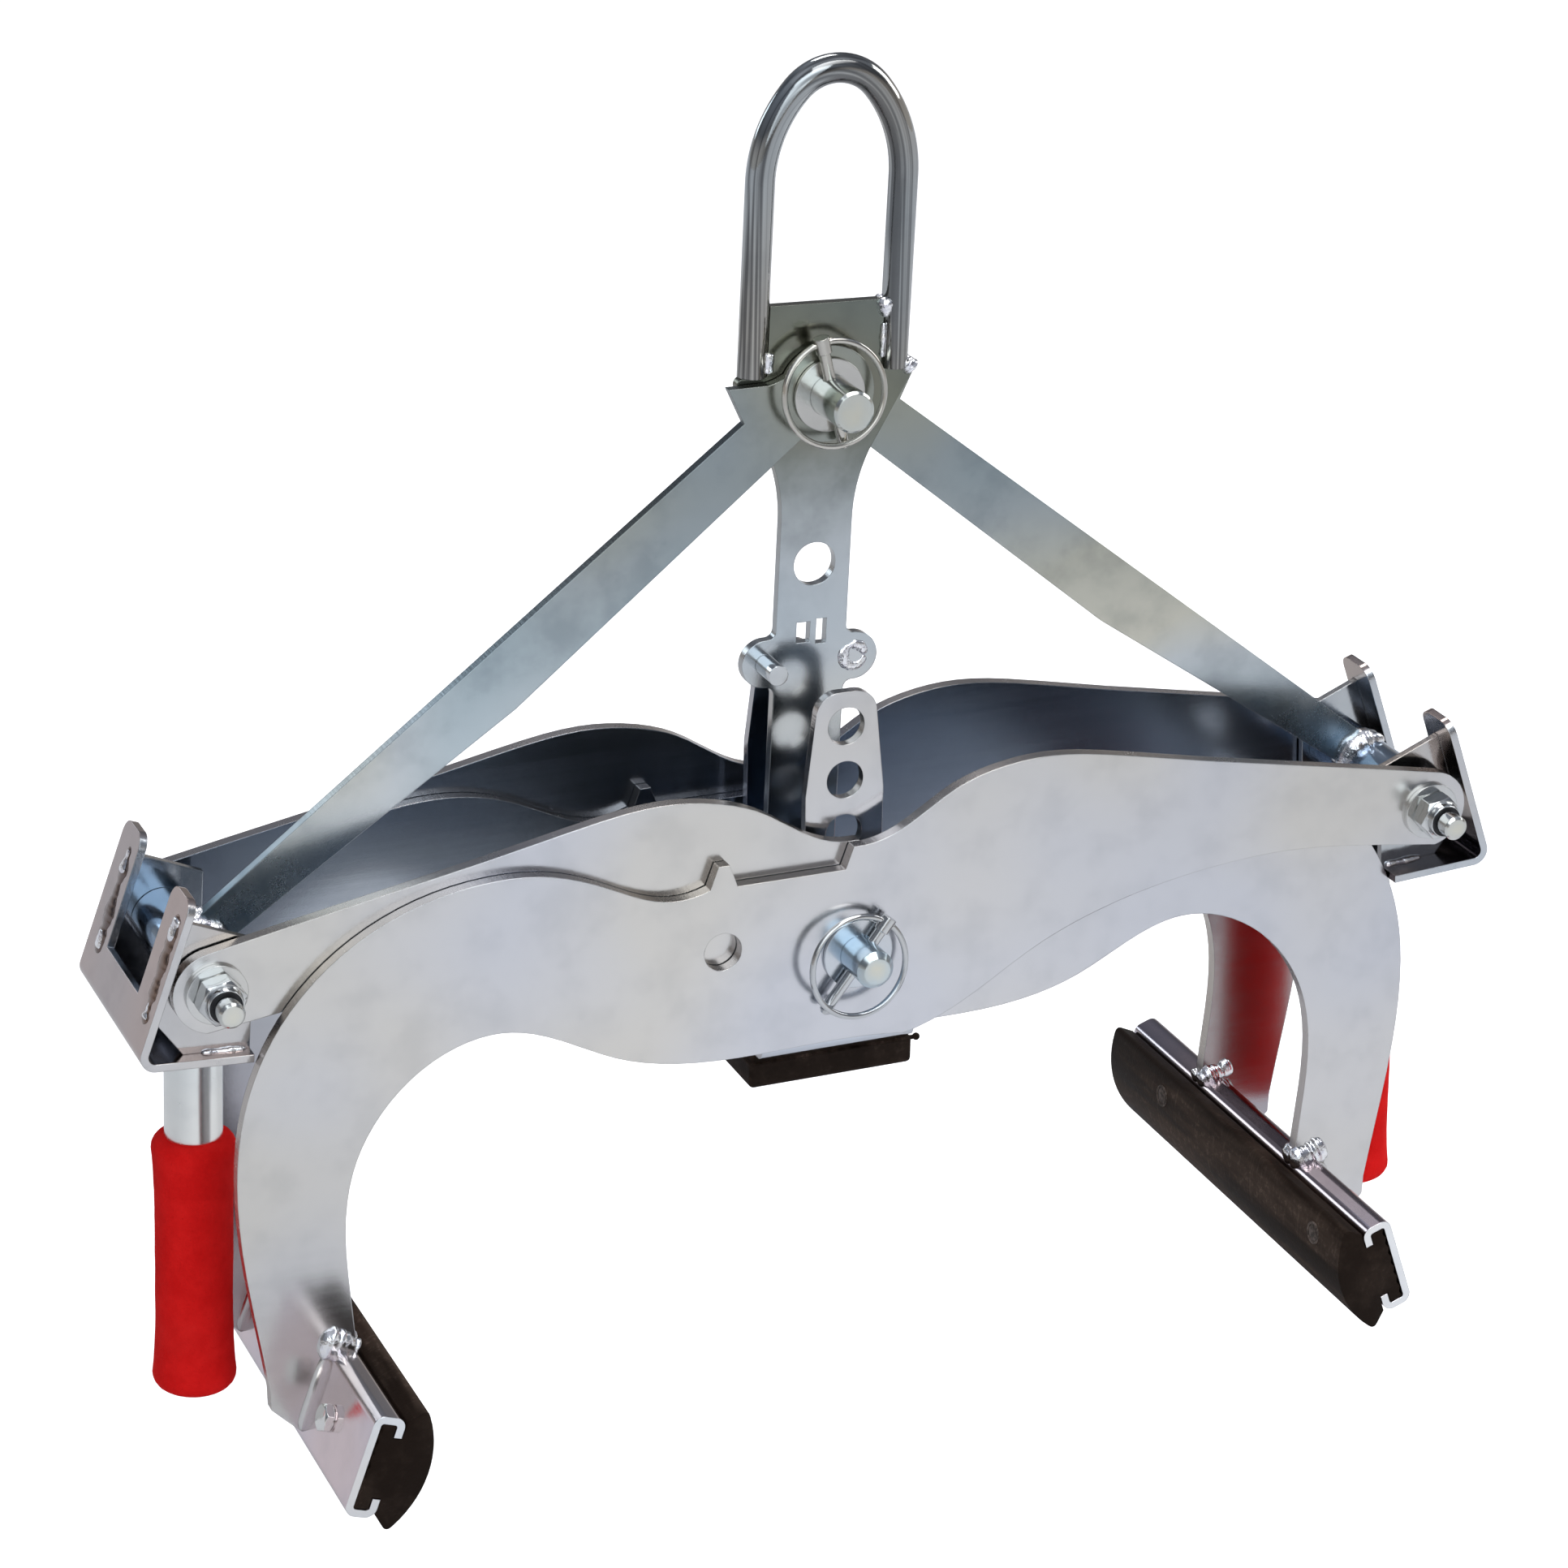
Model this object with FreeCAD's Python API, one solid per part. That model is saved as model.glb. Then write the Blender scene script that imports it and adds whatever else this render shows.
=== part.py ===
import FreeCAD, Part
import math
import os

# Scissor lifting tongs for kerb stones, millimetres, +Z up, X across the jaws.
# The tongs stand fully open on the rubber of their two jaws, with the origin on the floor
# below the centre pivot. Arm B is arm A turned half a turn about the Z axis.

# Main linkage
pivot_height = 176.4
axle_reach = 249.3
axle_rise = 21.9
link_rise = 188.1
second_hole_reach = 55.0
second_hole_rise = 8.9

# Stack of plates across the tongs
plate = 5.0
plate_gap = 0.5
spacer_clearance = 0.25
inside_width = 70.0
running_clearance = 0.1
end_play = 0.3
overrun = 5.0

# Pins and their lynch pins
pivot_pin_diameter = 15.0
top_pin_diameter = 16.0
pin_head_diameter = 24.0
pin_head_length = 5.0
pivot_pin_nose = 14.3
top_pin_nose = 19.5
top_pin_chamfer = 1.0
pivot_pin_chamfer = 2.2
pin_washer_diameter = 28.0
pin_washer = 1.5
lynch_diameter = 4.5
lynch_length = 44.5
lynch_head_diameter = 6.0
lynch_head_length = 6.0
lynch_head_past = 2.5
lynch_stand_off = 3.2
ring_diameter = 42.0
ring_wire = 2.4
ring_stub_depth = 2.0
ring_side_gap = 0.6
pivot_lynch_angle = 37.0
top_lynch_angle = -13.6
pivot_lynch_shift = -3.5
top_lynch_shift = 2.2

# Jaws
jaw_inset = 38.2
jaw_top = 49.0
jaw_tilt = 19.5
jaw_length = 200.0
channel_web = 41.4
channel_depth = 12.5
channel_wall = 3.0
channel_lip = 8.0
channel_bend = 1.2
rubber_clearance = 0.3
pad_height = 51.1
pad_edge = 6.5
pad_crown = 15.4
pad_round = 2.0
jaw_bolt_diameter = 6.0
jaw_bolt_flats = 10.0
jaw_bolt_head = 4.0
jaw_bolt_spacing = 128.0

# Arm plates
arm_end_radius = 16.0
tooth_base = 11.0
tooth_top = 4.5
tooth_height = 9.0
heel_height = 8.0

# End brackets and handles
bracket_plate = 3.0
bracket_out = 31.1
bracket_drop = 27.1
bracket_lean = 19.9
bracket_tilt = 3.5
upright_length = 67.6
flange_length = 44.5
bracket_bend = 3.0
window_width = 43.0
prong_round = 6.0
gusset = 3.0
gusset_height = 43.0
gusset_inset = 1.0
tab_recess = 1.0
tab_clearance = 0.3
tube_diameter = 22.0
tube_wall = 2.5
tube_free_length = 47.5
handle_tilt = 1.7
grip_diameter = 32.4
grip_waist = 1.2
grip_length = 106.0
grip_round = 5.0
grip_end_wall = 8.0

# End axles
axle_diameter = 10.0
axle_nose = 8.0
axle_chamfer = 1.0
washer_diameter = 23.0
washer = 2.0
nut_flats = 16.0
nut_height = 8.0
nut_collar_diameter = 14.4
nut_collar = 3.0

# Links
link_plate = 4.0
link_gap = 0.5
link_head_radius = 18.5
link_tip_reach = 39.8
link_tip_gap = 1.4
bush_diameter = 24.0
bush_play = 2.6

# Hanger and bail
hanger_plate = 4.0
hanger_width = 28.8
hanger_top_rise = 33.6
hanger_top_width = 46.0
shoulder_width = 74.0
shoulder_rise = 7.0
shoulder_round = 3.0
shoulder_drop = 24.4
waist_width = 40.0
bar_drop = 51.4
hanger_stop_gap = 0.4
hanger_lean = 1.7
hanger_foot_round = 6.0
bail_bar = 11.0
bail_leg_rise = 79.6
bail_rise = 41.0
bail_crown_radius = 21.0
ear_drop = 106.4
ear_reach = 18.3
ear_radius = 9.5
stud_diameter = 8.0
stud_length = 13.0
hanger_hole_diameter = 17.0
hanger_hole_drop = 67.8
slot_drop = 95.0
left_slot_place = -3.3
left_slot_width = 5.6
left_slot_height = 8.2
right_slot_place = 4.1
right_slot_width = 4.3
right_slot_height = 10.0

# Carrier and its rubber foot
carrier_plate = 4.0
carrier_side_gap = 4.5
carrier_width = 64.0
carrier_skirt = 12.0
carrier_floor_drop = 44.0
tongue_width = 32.0
tongue_neck_rise = 12.0
tongue_top_width = 25.0
tongue_top_rise = 100.6
tongue_top_round = 9.0
tongue_hole_pitch = 21.7
tongue_hole_count = 5
foot_length = 68.6
foot_width = 50.0
foot_height = 14.0
foot_round = 2.0
nib_neck_diameter = 1.8
nib_neck = 1.4
nib_ball = 3.0
nib_drop = 4.5
foot_screw_diameter = 6.0
foot_screw_head_diameter = 10.5
foot_screw_head = 3.3
foot_screw_depth = 7.0
foot_screw_spacing = 40.0

# Places that follow from the sizes
axle_height = pivot_height + axle_rise
jaw_reach = axle_reach - jaw_inset
top_pin_height = axle_height + link_rise
inner_face = inside_width / 2
inner_back = inner_face + plate
outer_face = inner_back + plate_gap
outer_back = outer_face + plate
pieces = {}


def vec(x, z, y=0):
    return FreeCAD.Vector(x, y, z)


def segment(start, end):
    return Part.LineSegment(start, end).toShape()


def arc(start, middle, end):
    return Part.Arc(start, middle, end).toShape()


def curve(points):
    spline = Part.BSplineCurve()
    spline.interpolate(points)
    return spline.toShape()


def polygon(points):
    return [segment(a, b) for a, b in zip(points, points[1:] + points[:1])]


def slab(edges, front, depth):
    """A plate in the XZ plane between y = front and y = front + depth."""
    face = Part.Face(Part.Wire(edges))
    face.translate(FreeCAD.Vector(0, front, 0))
    return face.extrude(FreeCAD.Vector(0, depth, 0))


def rod(diameter, length, base, direction):
    return Part.makeCylinder(diameter / 2, length, base, direction)


def cross_rod(diameter, x, z, front, back):
    return rod(diameter, back - front, FreeCAD.Vector(x, front, z), FreeCAD.Vector(0, 1, 0))


straight_share = 0.999


def along_y(shape, test):
    """Edges of a shape that run along Y and pass the test on their middle."""
    found = []
    for edge in shape.Edges:
        a, b = edge.Vertexes[0].Point, edge.Vertexes[-1].Point
        run = b - a
        if run.Length > 0 and abs(run.y) > run.Length * straight_share and test((a + b) * 0.5):
            found.append(edge)
    return found


def hexagon_bar(flats, height, base, direction):
    corner = flats / math.sqrt(3)
    points = []
    for side in range(6):
        turn = math.radians(60 * side)
        points.append(FreeCAD.Vector(corner * math.cos(turn), corner * math.sin(turn), 0))
    wire = Part.makePolygon(points + points[:1])
    bar = Part.Face(wire).extrude(FreeCAD.Vector(0, 0, height))
    bar.Placement = FreeCAD.Placement(base, FreeCAD.Rotation(FreeCAD.Vector(0, 0, 1), direction))
    return bar


def half_turn(shape):
    turned = shape.copy()
    turned.rotate(FreeCAD.Vector(0, 0, 0), FreeCAD.Vector(0, 0, 1), 180)
    return turned


# Jaw frame at the left: corner of the channel, its way down and its way inward
tilt = math.radians(jaw_tilt)
jaw_corner = vec(-jaw_reach, jaw_top)
jaw_down = vec(-math.sin(tilt), -math.cos(tilt))
jaw_in = vec(math.cos(tilt), -math.sin(tilt))


def at_jaw(inward, down):
    return jaw_corner + jaw_in * inward + jaw_down * down


# Arm outline, left points as shares of the jaw's reach, right points of the axle's reach,
# heights as shares of the pivot's height
leg_back_shares = [(-1.114, 0.193), (-1.148, 0.453), (-1.162, 0.635), (-1.144, 0.862), (-1.08, 1.037),
                   (-0.953, 1.19), (-0.82, 1.266), (-0.702, 1.292), (-0.597, 1.287), (-0.494, 1.247),
                   (-0.402, 1.197)]
tooth_foot_share = 1.198
crest_shares = [(0.055, 1.264), (0.16, 1.35), (0.233, 1.383), (0.309, 1.3935), (0.417, 1.376),
                (0.535, 1.342), (0.753, 1.283)]
underside_shares = [(0.894, 1.06), (0.762, 1.078), (0.602, 1.066), (0.441, 1.02), (0.301, 0.941),
                    (0.18, 0.839), (0.083, 0.787)]
arch_shares = [(-0.142, 0.795), (-0.341, 0.803), (-0.462, 0.841), (-0.568, 0.905), (-0.673, 0.944),
               (-0.786, 0.916), (-0.886, 0.824), (-0.947, 0.701), (-0.969, 0.556), (-0.964, 0.408)]
arm_end_angle = 76.0
leg_seat_share = 0.82
heel_seat_share = 0.885
heel_mid_share = 0.795
heel_top_share = 0.713
heel_spread_share = 1.86


def from_shares(shares, reach):
    return [vec(x * reach, z * pivot_height) for x, z in shares]


def arm_outline():
    back = from_shares(leg_back_shares, jaw_reach)
    crest = from_shares(crest_shares, axle_reach)
    underside = from_shares(underside_shares, axle_reach)
    arch = from_shares(arch_shares, jaw_reach)
    tooth_foot = vec(-second_hole_reach - tooth_base / 2, pivot_height * tooth_foot_share)
    tooth = [vec(-second_hole_reach - tooth_top / 2, tooth_foot.z + tooth_height),
             vec(-second_hole_reach + tooth_top / 2, tooth_foot.z + tooth_height),
             vec(-second_hole_reach + tooth_base / 2, tooth_foot.z)]
    mark = [vec(-tooth_base / 2, tooth_foot.z),
            vec(-tooth_top / 2, tooth_foot.z + tooth_height),
            vec(tooth_top / 2, tooth_foot.z + tooth_height)]
    swing = math.radians(arm_end_angle)
    side, rise = arm_end_radius * math.cos(swing), arm_end_radius * math.sin(swing)
    end_top = vec(axle_reach + side, axle_height + rise)
    end_tip = vec(axle_reach + arm_end_radius, axle_height)
    end_low = vec(axle_reach + side, axle_height - rise)
    seat_in = at_jaw(channel_depth * leg_seat_share, 0)
    seat_low = at_jaw(0, channel_web * heel_seat_share)
    heel_mid = at_jaw(-heel_height, channel_web * heel_mid_share)
    heel_top = at_jaw(-heel_height * heel_spread_share, channel_web * heel_top_share)
    return [curve(back + [tooth_foot]),
            segment(tooth_foot, tooth[0]),
            segment(tooth[0], tooth[1]),
            segment(tooth[1], tooth[2]),
            segment(tooth[2], mark[0]),
            segment(mark[0], mark[1]),
            segment(mark[1], mark[2]),
            curve([mark[2]] + crest + [end_top]),
            arc(end_top, end_tip, end_low),
            curve([end_low] + underside),
            curve([underside[-1]] + arch + [seat_in]),
            segment(seat_in, jaw_corner),
            segment(jaw_corner, seat_low),
            segment(seat_low, heel_mid),
            segment(heel_mid, heel_top),
            segment(heel_top, back[0])]


def arm_plate(front):
    body = slab(arm_outline(), front, plate)
    back = front + plate + overrun
    start = front - overrun
    fit = 2 * running_clearance
    holes = [cross_rod(pivot_pin_diameter + fit, 0, pivot_height, start, back),
             cross_rod(pivot_pin_diameter + fit, -second_hole_reach, pivot_height + second_hole_rise,
                       start, back),
             cross_rod(axle_diameter, axle_reach, axle_height, start, back)]
    return body.cut(Part.Compound(holes))


# Jaw channel: a C section with inward lips, open to the inside
def jaw_channel():
    lip_in = channel_depth - channel_wall
    points = [at_jaw(0, 0), at_jaw(channel_depth, 0), at_jaw(channel_depth, channel_lip),
              at_jaw(lip_in, channel_lip), at_jaw(lip_in, channel_wall),
              at_jaw(channel_wall, channel_wall), at_jaw(channel_wall, channel_web - channel_wall),
              at_jaw(lip_in, channel_web - channel_wall), at_jaw(lip_in, channel_web - channel_lip),
              at_jaw(channel_depth, channel_web - channel_lip), at_jaw(channel_depth, channel_web),
              at_jaw(0, channel_web)]
    body = slab(polygon(points), -jaw_length / 2, jaw_length)
    outer = [points[0], points[1], points[10], points[11]]
    inner = [points[4], points[5], points[6], points[7]]
    body = body.makeFillet(channel_bend + channel_wall, near_edges(body, outer))
    body = body.makeFillet(channel_bend, near_edges(body, inner))
    return body.cut(Part.Compound(jaw_bolt_bores(jaw_bolt_diameter)))


def near_edges(body, corners):
    reach = channel_wall / 4
    return along_y(body, lambda p: any(math.hypot(p.x - c.x, p.z - c.z) < reach for c in corners))


def jaw_bolt_places():
    middle = at_jaw(0, channel_web / 2)
    return [middle + FreeCAD.Vector(0, side * jaw_bolt_spacing / 2, 0) for side in (-1, 1)]


def jaw_bolt_bores(diameter):
    length = channel_depth - channel_wall
    return [rod(diameter, overrun + length, place - jaw_in * overrun, jaw_in)
            for place in jaw_bolt_places()]


def jaw_bolts():
    bolts = []
    for place in jaw_bolt_places():
        head = hexagon_bar(jaw_bolt_flats, jaw_bolt_head, place - jaw_in * jaw_bolt_head, jaw_in)
        shank = rod(jaw_bolt_diameter, channel_depth - channel_wall, place, jaw_in)
        bolts.append(head.fuse(shank))
    return Part.Compound(bolts)


# Rubber pad: a T foot held behind the lips and a crowned front
def jaw_rubber():
    middle = channel_web / 2
    foot = middle - channel_wall - rubber_clearance
    neck = middle - channel_lip - rubber_clearance
    foot_back = channel_wall + rubber_clearance
    foot_front = channel_depth - channel_wall - rubber_clearance
    face = channel_depth + rubber_clearance
    seat = middle - channel_bend
    edge = channel_depth + pad_edge
    half = pad_height / 2
    corners = [(foot_back, -foot), (foot_front, -foot), (foot_front, -neck), (face, -neck),
               (face, -seat), (edge, -half)]
    low = [at_jaw(inward, middle - down) for inward, down in corners]
    high = [at_jaw(inward, middle + down) for inward, down in corners]
    edges = [segment(a, b) for a, b in zip(low, low[1:])]
    edges += [segment(a, b) for a, b in zip(high, high[1:])]
    edges.append(arc(low[-1], at_jaw(channel_depth + pad_crown, middle), high[-1]))
    edges.append(segment(low[0], high[0]))
    body = slab(Part.__sortEdges__(edges), -jaw_length / 2, jaw_length)
    corner_edges = near_edges(body, [low[-1], high[-1]])
    body = body.makeFillet(pad_round, corner_edges)
    return body.cut(Part.Compound(jaw_bolt_bores(jaw_bolt_diameter + 2 * rubber_clearance)))


# End bracket at the right: flange under the arm ends and upright with two prongs
lean = math.radians(bracket_lean)
level = math.radians(bracket_tilt)
bracket_corner = vec(axle_reach + bracket_out, axle_height - bracket_drop)
upright_way = vec(-math.sin(lean), math.cos(lean))
upright_in = vec(-math.cos(lean), -math.sin(lean))
flange_way = vec(-math.cos(level), -math.sin(level))
flange_up = vec(-math.sin(level), math.cos(level))
bracket_front = -outer_back
bracket_back = inner_back
bracket_middle = (bracket_front + bracket_back) / 2
opening = math.pi / 2 - lean + level
bend_set_back = bracket_plate / math.tan(opening / 2)
inner_corner = bracket_corner + upright_way * bend_set_back + upright_in * bracket_plate
gusset_fronts = (gusset_inset - inner_face, inner_face - gusset_inset - gusset)
window_bottom_share = 0.34
gusset_clip_share = 0.44
gusset_foot_share = 0.28
gusset_top_share = 0.86


def upright_cut(width, middle, low, high):
    """A cut through the upright, so wide about y = middle, between two heights along it."""
    cut = Part.makeBox(width, bracket_plate * 3, high - low)
    cut.translate(FreeCAD.Vector(-width / 2, -bracket_plate, 0))
    axes = FreeCAD.Rotation(FreeCAD.Vector(0, 1, 0), upright_in, upright_way, "ZYX")
    place = bracket_corner + upright_way * low + FreeCAD.Vector(0, middle, 0)
    cut.Placement = FreeCAD.Placement(place, axes).multiply(cut.Placement)
    return cut


def end_bracket():
    top = bracket_corner + upright_way * upright_length
    end = bracket_corner + flange_way * flange_length
    points = [bracket_corner, top, top + upright_in * bracket_plate, inner_corner,
              end + flange_up * bracket_plate, end]
    body = slab(polygon(points), bracket_front, bracket_back - bracket_front)
    reach = bracket_plate / 4
    outer = along_y(body, lambda p: math.hypot(p.x - points[0].x, p.z - points[0].z) < reach)
    body = body.makeFillet(bracket_bend + bracket_plate, outer)
    inner = along_y(body, lambda p: math.hypot(p.x - points[3].x, p.z - points[3].z) < reach)
    body = body.makeFillet(bracket_bend, inner)
    cuts = [upright_cut(window_width, bracket_middle, upright_length * window_bottom_share,
                        upright_length + overrun)]
    for front in gusset_fronts:
        cuts.append(upright_cut(gusset + 2 * tab_clearance, front + gusset / 2,
                                upright_length * gusset_foot_share - tab_clearance,
                                upright_length * gusset_top_share + tab_clearance))
    body = body.cut(Part.Compound(cuts))
    tips = []
    for edge in body.Edges:
        a, b = edge.Vertexes[0].Point, edge.Vertexes[-1].Point
        crosses = abs((b - a).Length - bracket_plate) < bracket_plate / 10
        high = ((a + b) * 0.5 - bracket_corner).dot(upright_way) > upright_length - bracket_plate / 10
        if crosses and high:
            tips.append(edge)
    return body.makeFillet(prong_round, tips)


def bracket_gusset(front):
    """Side plate on the flange, with a tab that ends a little below the upright's outer face."""
    foot = bracket_corner + flange_up * bracket_plate
    wall = bracket_corner + upright_in * bracket_plate
    tab = bracket_corner + upright_in * tab_recess
    top = upright_way * (upright_length * gusset_top_share)
    low = upright_way * (upright_length * gusset_foot_share)
    flange_end = foot + flange_way * flange_length
    points = [foot + flange_way * (flange_length * gusset_clip_share), flange_end,
              flange_end + flange_up * gusset_height, wall + top, tab + top, tab + low, wall + low]
    body = slab(polygon(points), front, gusset)
    bore = cross_rod(axle_diameter, axle_reach, axle_height, front - overrun, front + gusset + overrun)
    return body.cut(bore)


# Handle tube under the flange with its grip
handle_share = 0.76
handle_base = bracket_corner + flange_way * (flange_length * handle_share)
handle_base = handle_base + FreeCAD.Vector(0, bracket_middle, 0)
handle_lean = math.radians(handle_tilt)
handle_down = vec(math.sin(handle_lean), -math.cos(handle_lean))
tube_length = tube_free_length + grip_length - grip_end_wall


def handle_tube():
    """Tube cut off square to the flange that it is welded under."""
    start = handle_base - handle_down * overrun
    bore = tube_diameter - 2 * tube_wall
    body = rod(tube_diameter, tube_length + overrun, start, handle_down)
    body = body.cut(rod(bore, tube_length + 2 * overrun, start, handle_down))
    above = rod(2 * tube_diameter, 2 * overrun, handle_base, flange_up)
    return body.cut(above)


def hand_grip():
    """Foam sleeve with a slight waist, turned about the handle's axis."""
    radius = grip_diameter / 2
    bore = tube_diameter / 2
    top = -tube_free_length
    end = top - grip_length
    waist = vec(radius - grip_waist, (top + end) / 2)
    floor = end + grip_end_wall
    edges = [segment(vec(bore, top), vec(radius - grip_round, top)),
             arc(vec(radius - grip_round, top),
                 vec(radius - grip_round + grip_round * math.sin(math.pi / 4),
                     top - grip_round + grip_round * math.cos(math.pi / 4)),
                 vec(radius, top - grip_round)),
             arc(vec(radius, top - grip_round), waist, vec(radius, end + grip_round)),
             arc(vec(radius, end + grip_round),
                 vec(radius - grip_round + grip_round * math.sin(math.pi / 4),
                     end + grip_round - grip_round * math.cos(math.pi / 4)),
                 vec(radius - grip_round, end)),
             segment(vec(radius - grip_round, end), vec(0, end)),
             segment(vec(0, end), vec(0, floor)),
             segment(vec(0, floor), vec(bore, floor)),
             segment(vec(bore, floor), vec(bore, top))]
    body = Part.Face(Part.Wire(edges)).revolve(FreeCAD.Vector(0, 0, 0), FreeCAD.Vector(0, 0, 1), 360)
    turn = FreeCAD.Rotation(FreeCAD.Vector(0, 0, 1), handle_down * -1)
    body.Placement = FreeCAD.Placement(handle_base, turn)
    return body


# End axle through arm plates, gussets and bush, a nut on each end
def axle_stud():
    reach = washer + nut_height + nut_collar + axle_nose
    front = bracket_front - reach
    back = bracket_back + reach
    body = cross_rod(axle_diameter, axle_reach, axle_height, front, back)
    return body.makeChamfer(axle_chamfer, [e for e in body.Edges if e.Curve.TypeId == "Part::GeomCircle"])


def axle_washer(front):
    body = cross_rod(washer_diameter, axle_reach, axle_height, front, front + washer)
    return body.cut(cross_rod(axle_diameter, axle_reach, axle_height, front - overrun,
                              front + washer + overrun))


def axle_nut(seat, way):
    direction = FreeCAD.Vector(0, way, 0)
    base = FreeCAD.Vector(axle_reach, seat, axle_height)
    body = hexagon_bar(nut_flats, nut_height, base, direction)
    body = body.fuse(rod(nut_collar_diameter, nut_height + nut_collar, base, direction))
    bore = rod(axle_diameter, nut_height + nut_collar + 2 * overrun, base - direction * overrun, direction)
    return body.cut(bore)


arm = {
    "front_plate": arm_plate(-outer_back),
    "rear_plate": arm_plate(inner_face),
}
jaw = {
    "jaw_channel": jaw_channel(),
    "jaw_rubber": jaw_rubber(),
    "jaw_bolts": jaw_bolts(),
}
end = {
    "end_bracket": end_bracket(),
    "gusset_front": bracket_gusset(gusset_fronts[0]),
    "gusset_rear": bracket_gusset(gusset_fronts[1]),
    "handle_tube": handle_tube(),
    "grip": hand_grip(),
    "axle_stud": axle_stud(),
    "axle_washer_front": axle_washer(bracket_front - washer),
    "axle_washer_rear": axle_washer(bracket_back),
    "axle_nut_front": axle_nut(bracket_front - washer, -1),
    "axle_nut_rear": axle_nut(bracket_back + washer, 1),
}
turned_names = {"front_plate": "rear_plate", "rear_plate": "front_plate",
                "gusset_front": "gusset_rear", "gusset_rear": "gusset_front",
                "axle_washer_front": "axle_washer_rear", "axle_washer_rear": "axle_washer_front",
                "axle_nut_front": "axle_nut_rear", "axle_nut_rear": "axle_nut_front"}
for group, near, far in ((arm, "arm_a", "arm_b"), (jaw, "left", "right"), (end, "right", "left")):
    for name, shape in group.items():
        pieces[near + "_" + name] = shape
        pieces[far + "_" + turned_names.get(name, name)] = half_turn(shape)


# Links: flat bars on the top pin with a bush tube welded to the lower end, the right one first
link_front = hanger_plate / 2 + link_gap
link_mid_share = 0.493
link_mid_drop_share = 0.576
link_end_high_share = 0.066
link_end_low_share = 0.03
link_notch_share = 0.134
link_notch_drop_share = 0.043
link_throat_share = 0.039
link_throat_drop_share = 0.084
tip_mid_share = 0.6
tip_low_share = 0.37
tip_rise_share = 1.7
tip_turn_share = 0.45


def link_blade():
    high_end = vec(axle_reach, axle_height + link_rise * link_end_high_share)
    low_end = vec(axle_reach, axle_height - link_rise * link_end_low_share)
    kink = vec(axle_reach * link_mid_share, top_pin_height - link_rise * link_mid_drop_share)
    throat = vec(axle_reach * link_throat_share, top_pin_height - link_rise * link_throat_drop_share)
    notch = vec(axle_reach * link_notch_share, top_pin_height - link_rise * link_notch_drop_share)
    tip_rise = shoulder_rise - link_tip_gap
    tip = vec(link_tip_reach, top_pin_height + tip_rise)
    stop = vec(link_tip_reach * tip_mid_share, top_pin_height + tip_rise)
    bow = vec(link_tip_reach * tip_low_share, top_pin_height + tip_rise * tip_rise_share)
    turn = math.acos(tip_turn_share)
    crown = vec(link_head_radius * math.cos(turn), top_pin_height + link_head_radius * math.sin(turn))
    return [segment(low_end, kink), segment(kink, throat), segment(throat, vec(0, top_pin_height)),
            segment(vec(0, top_pin_height), crown), curve([crown, bow, stop]), segment(stop, tip),
            segment(tip, notch), segment(notch, high_end), segment(high_end, low_end)]


def link_plate_solid():
    body = slab(Part.__sortEdges__(link_blade()), link_front, link_plate)
    back = link_front + link_plate
    body = body.fuse(cross_rod(2 * link_head_radius, 0, top_pin_height, link_front, back)).removeSplitter()
    bore = cross_rod(top_pin_diameter + 2 * running_clearance, 0, top_pin_height, link_front - overrun,
                     back + overrun)
    cope = cross_rod(bush_diameter, axle_reach, axle_height, link_front - overrun, back + overrun)
    return body.cut(Part.Compound([bore, cope]))


def link_bush():
    half = inner_face - gusset_inset - gusset - end_play
    body = cross_rod(bush_diameter, axle_reach, axle_height, -half, half)
    bore = axle_diameter + 2 * bush_play
    return body.cut(cross_rod(bore, axle_reach, axle_height, -half - overrun, half + overrun))


pieces["right_link_plate"] = link_plate_solid()
pieces["right_link_bush"] = link_bush()
pieces["left_link_plate"] = half_turn(pieces["right_link_plate"])
pieces["left_link_bush"] = half_turn(pieces["right_link_bush"])


# Hanger: one upright plate from the bail down to just above the pivot pin
bail_reach = hanger_top_width / 2 + bail_bar / 2
waist_bow_share = 0.45
ear_fillet_share = 0.9


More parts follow.
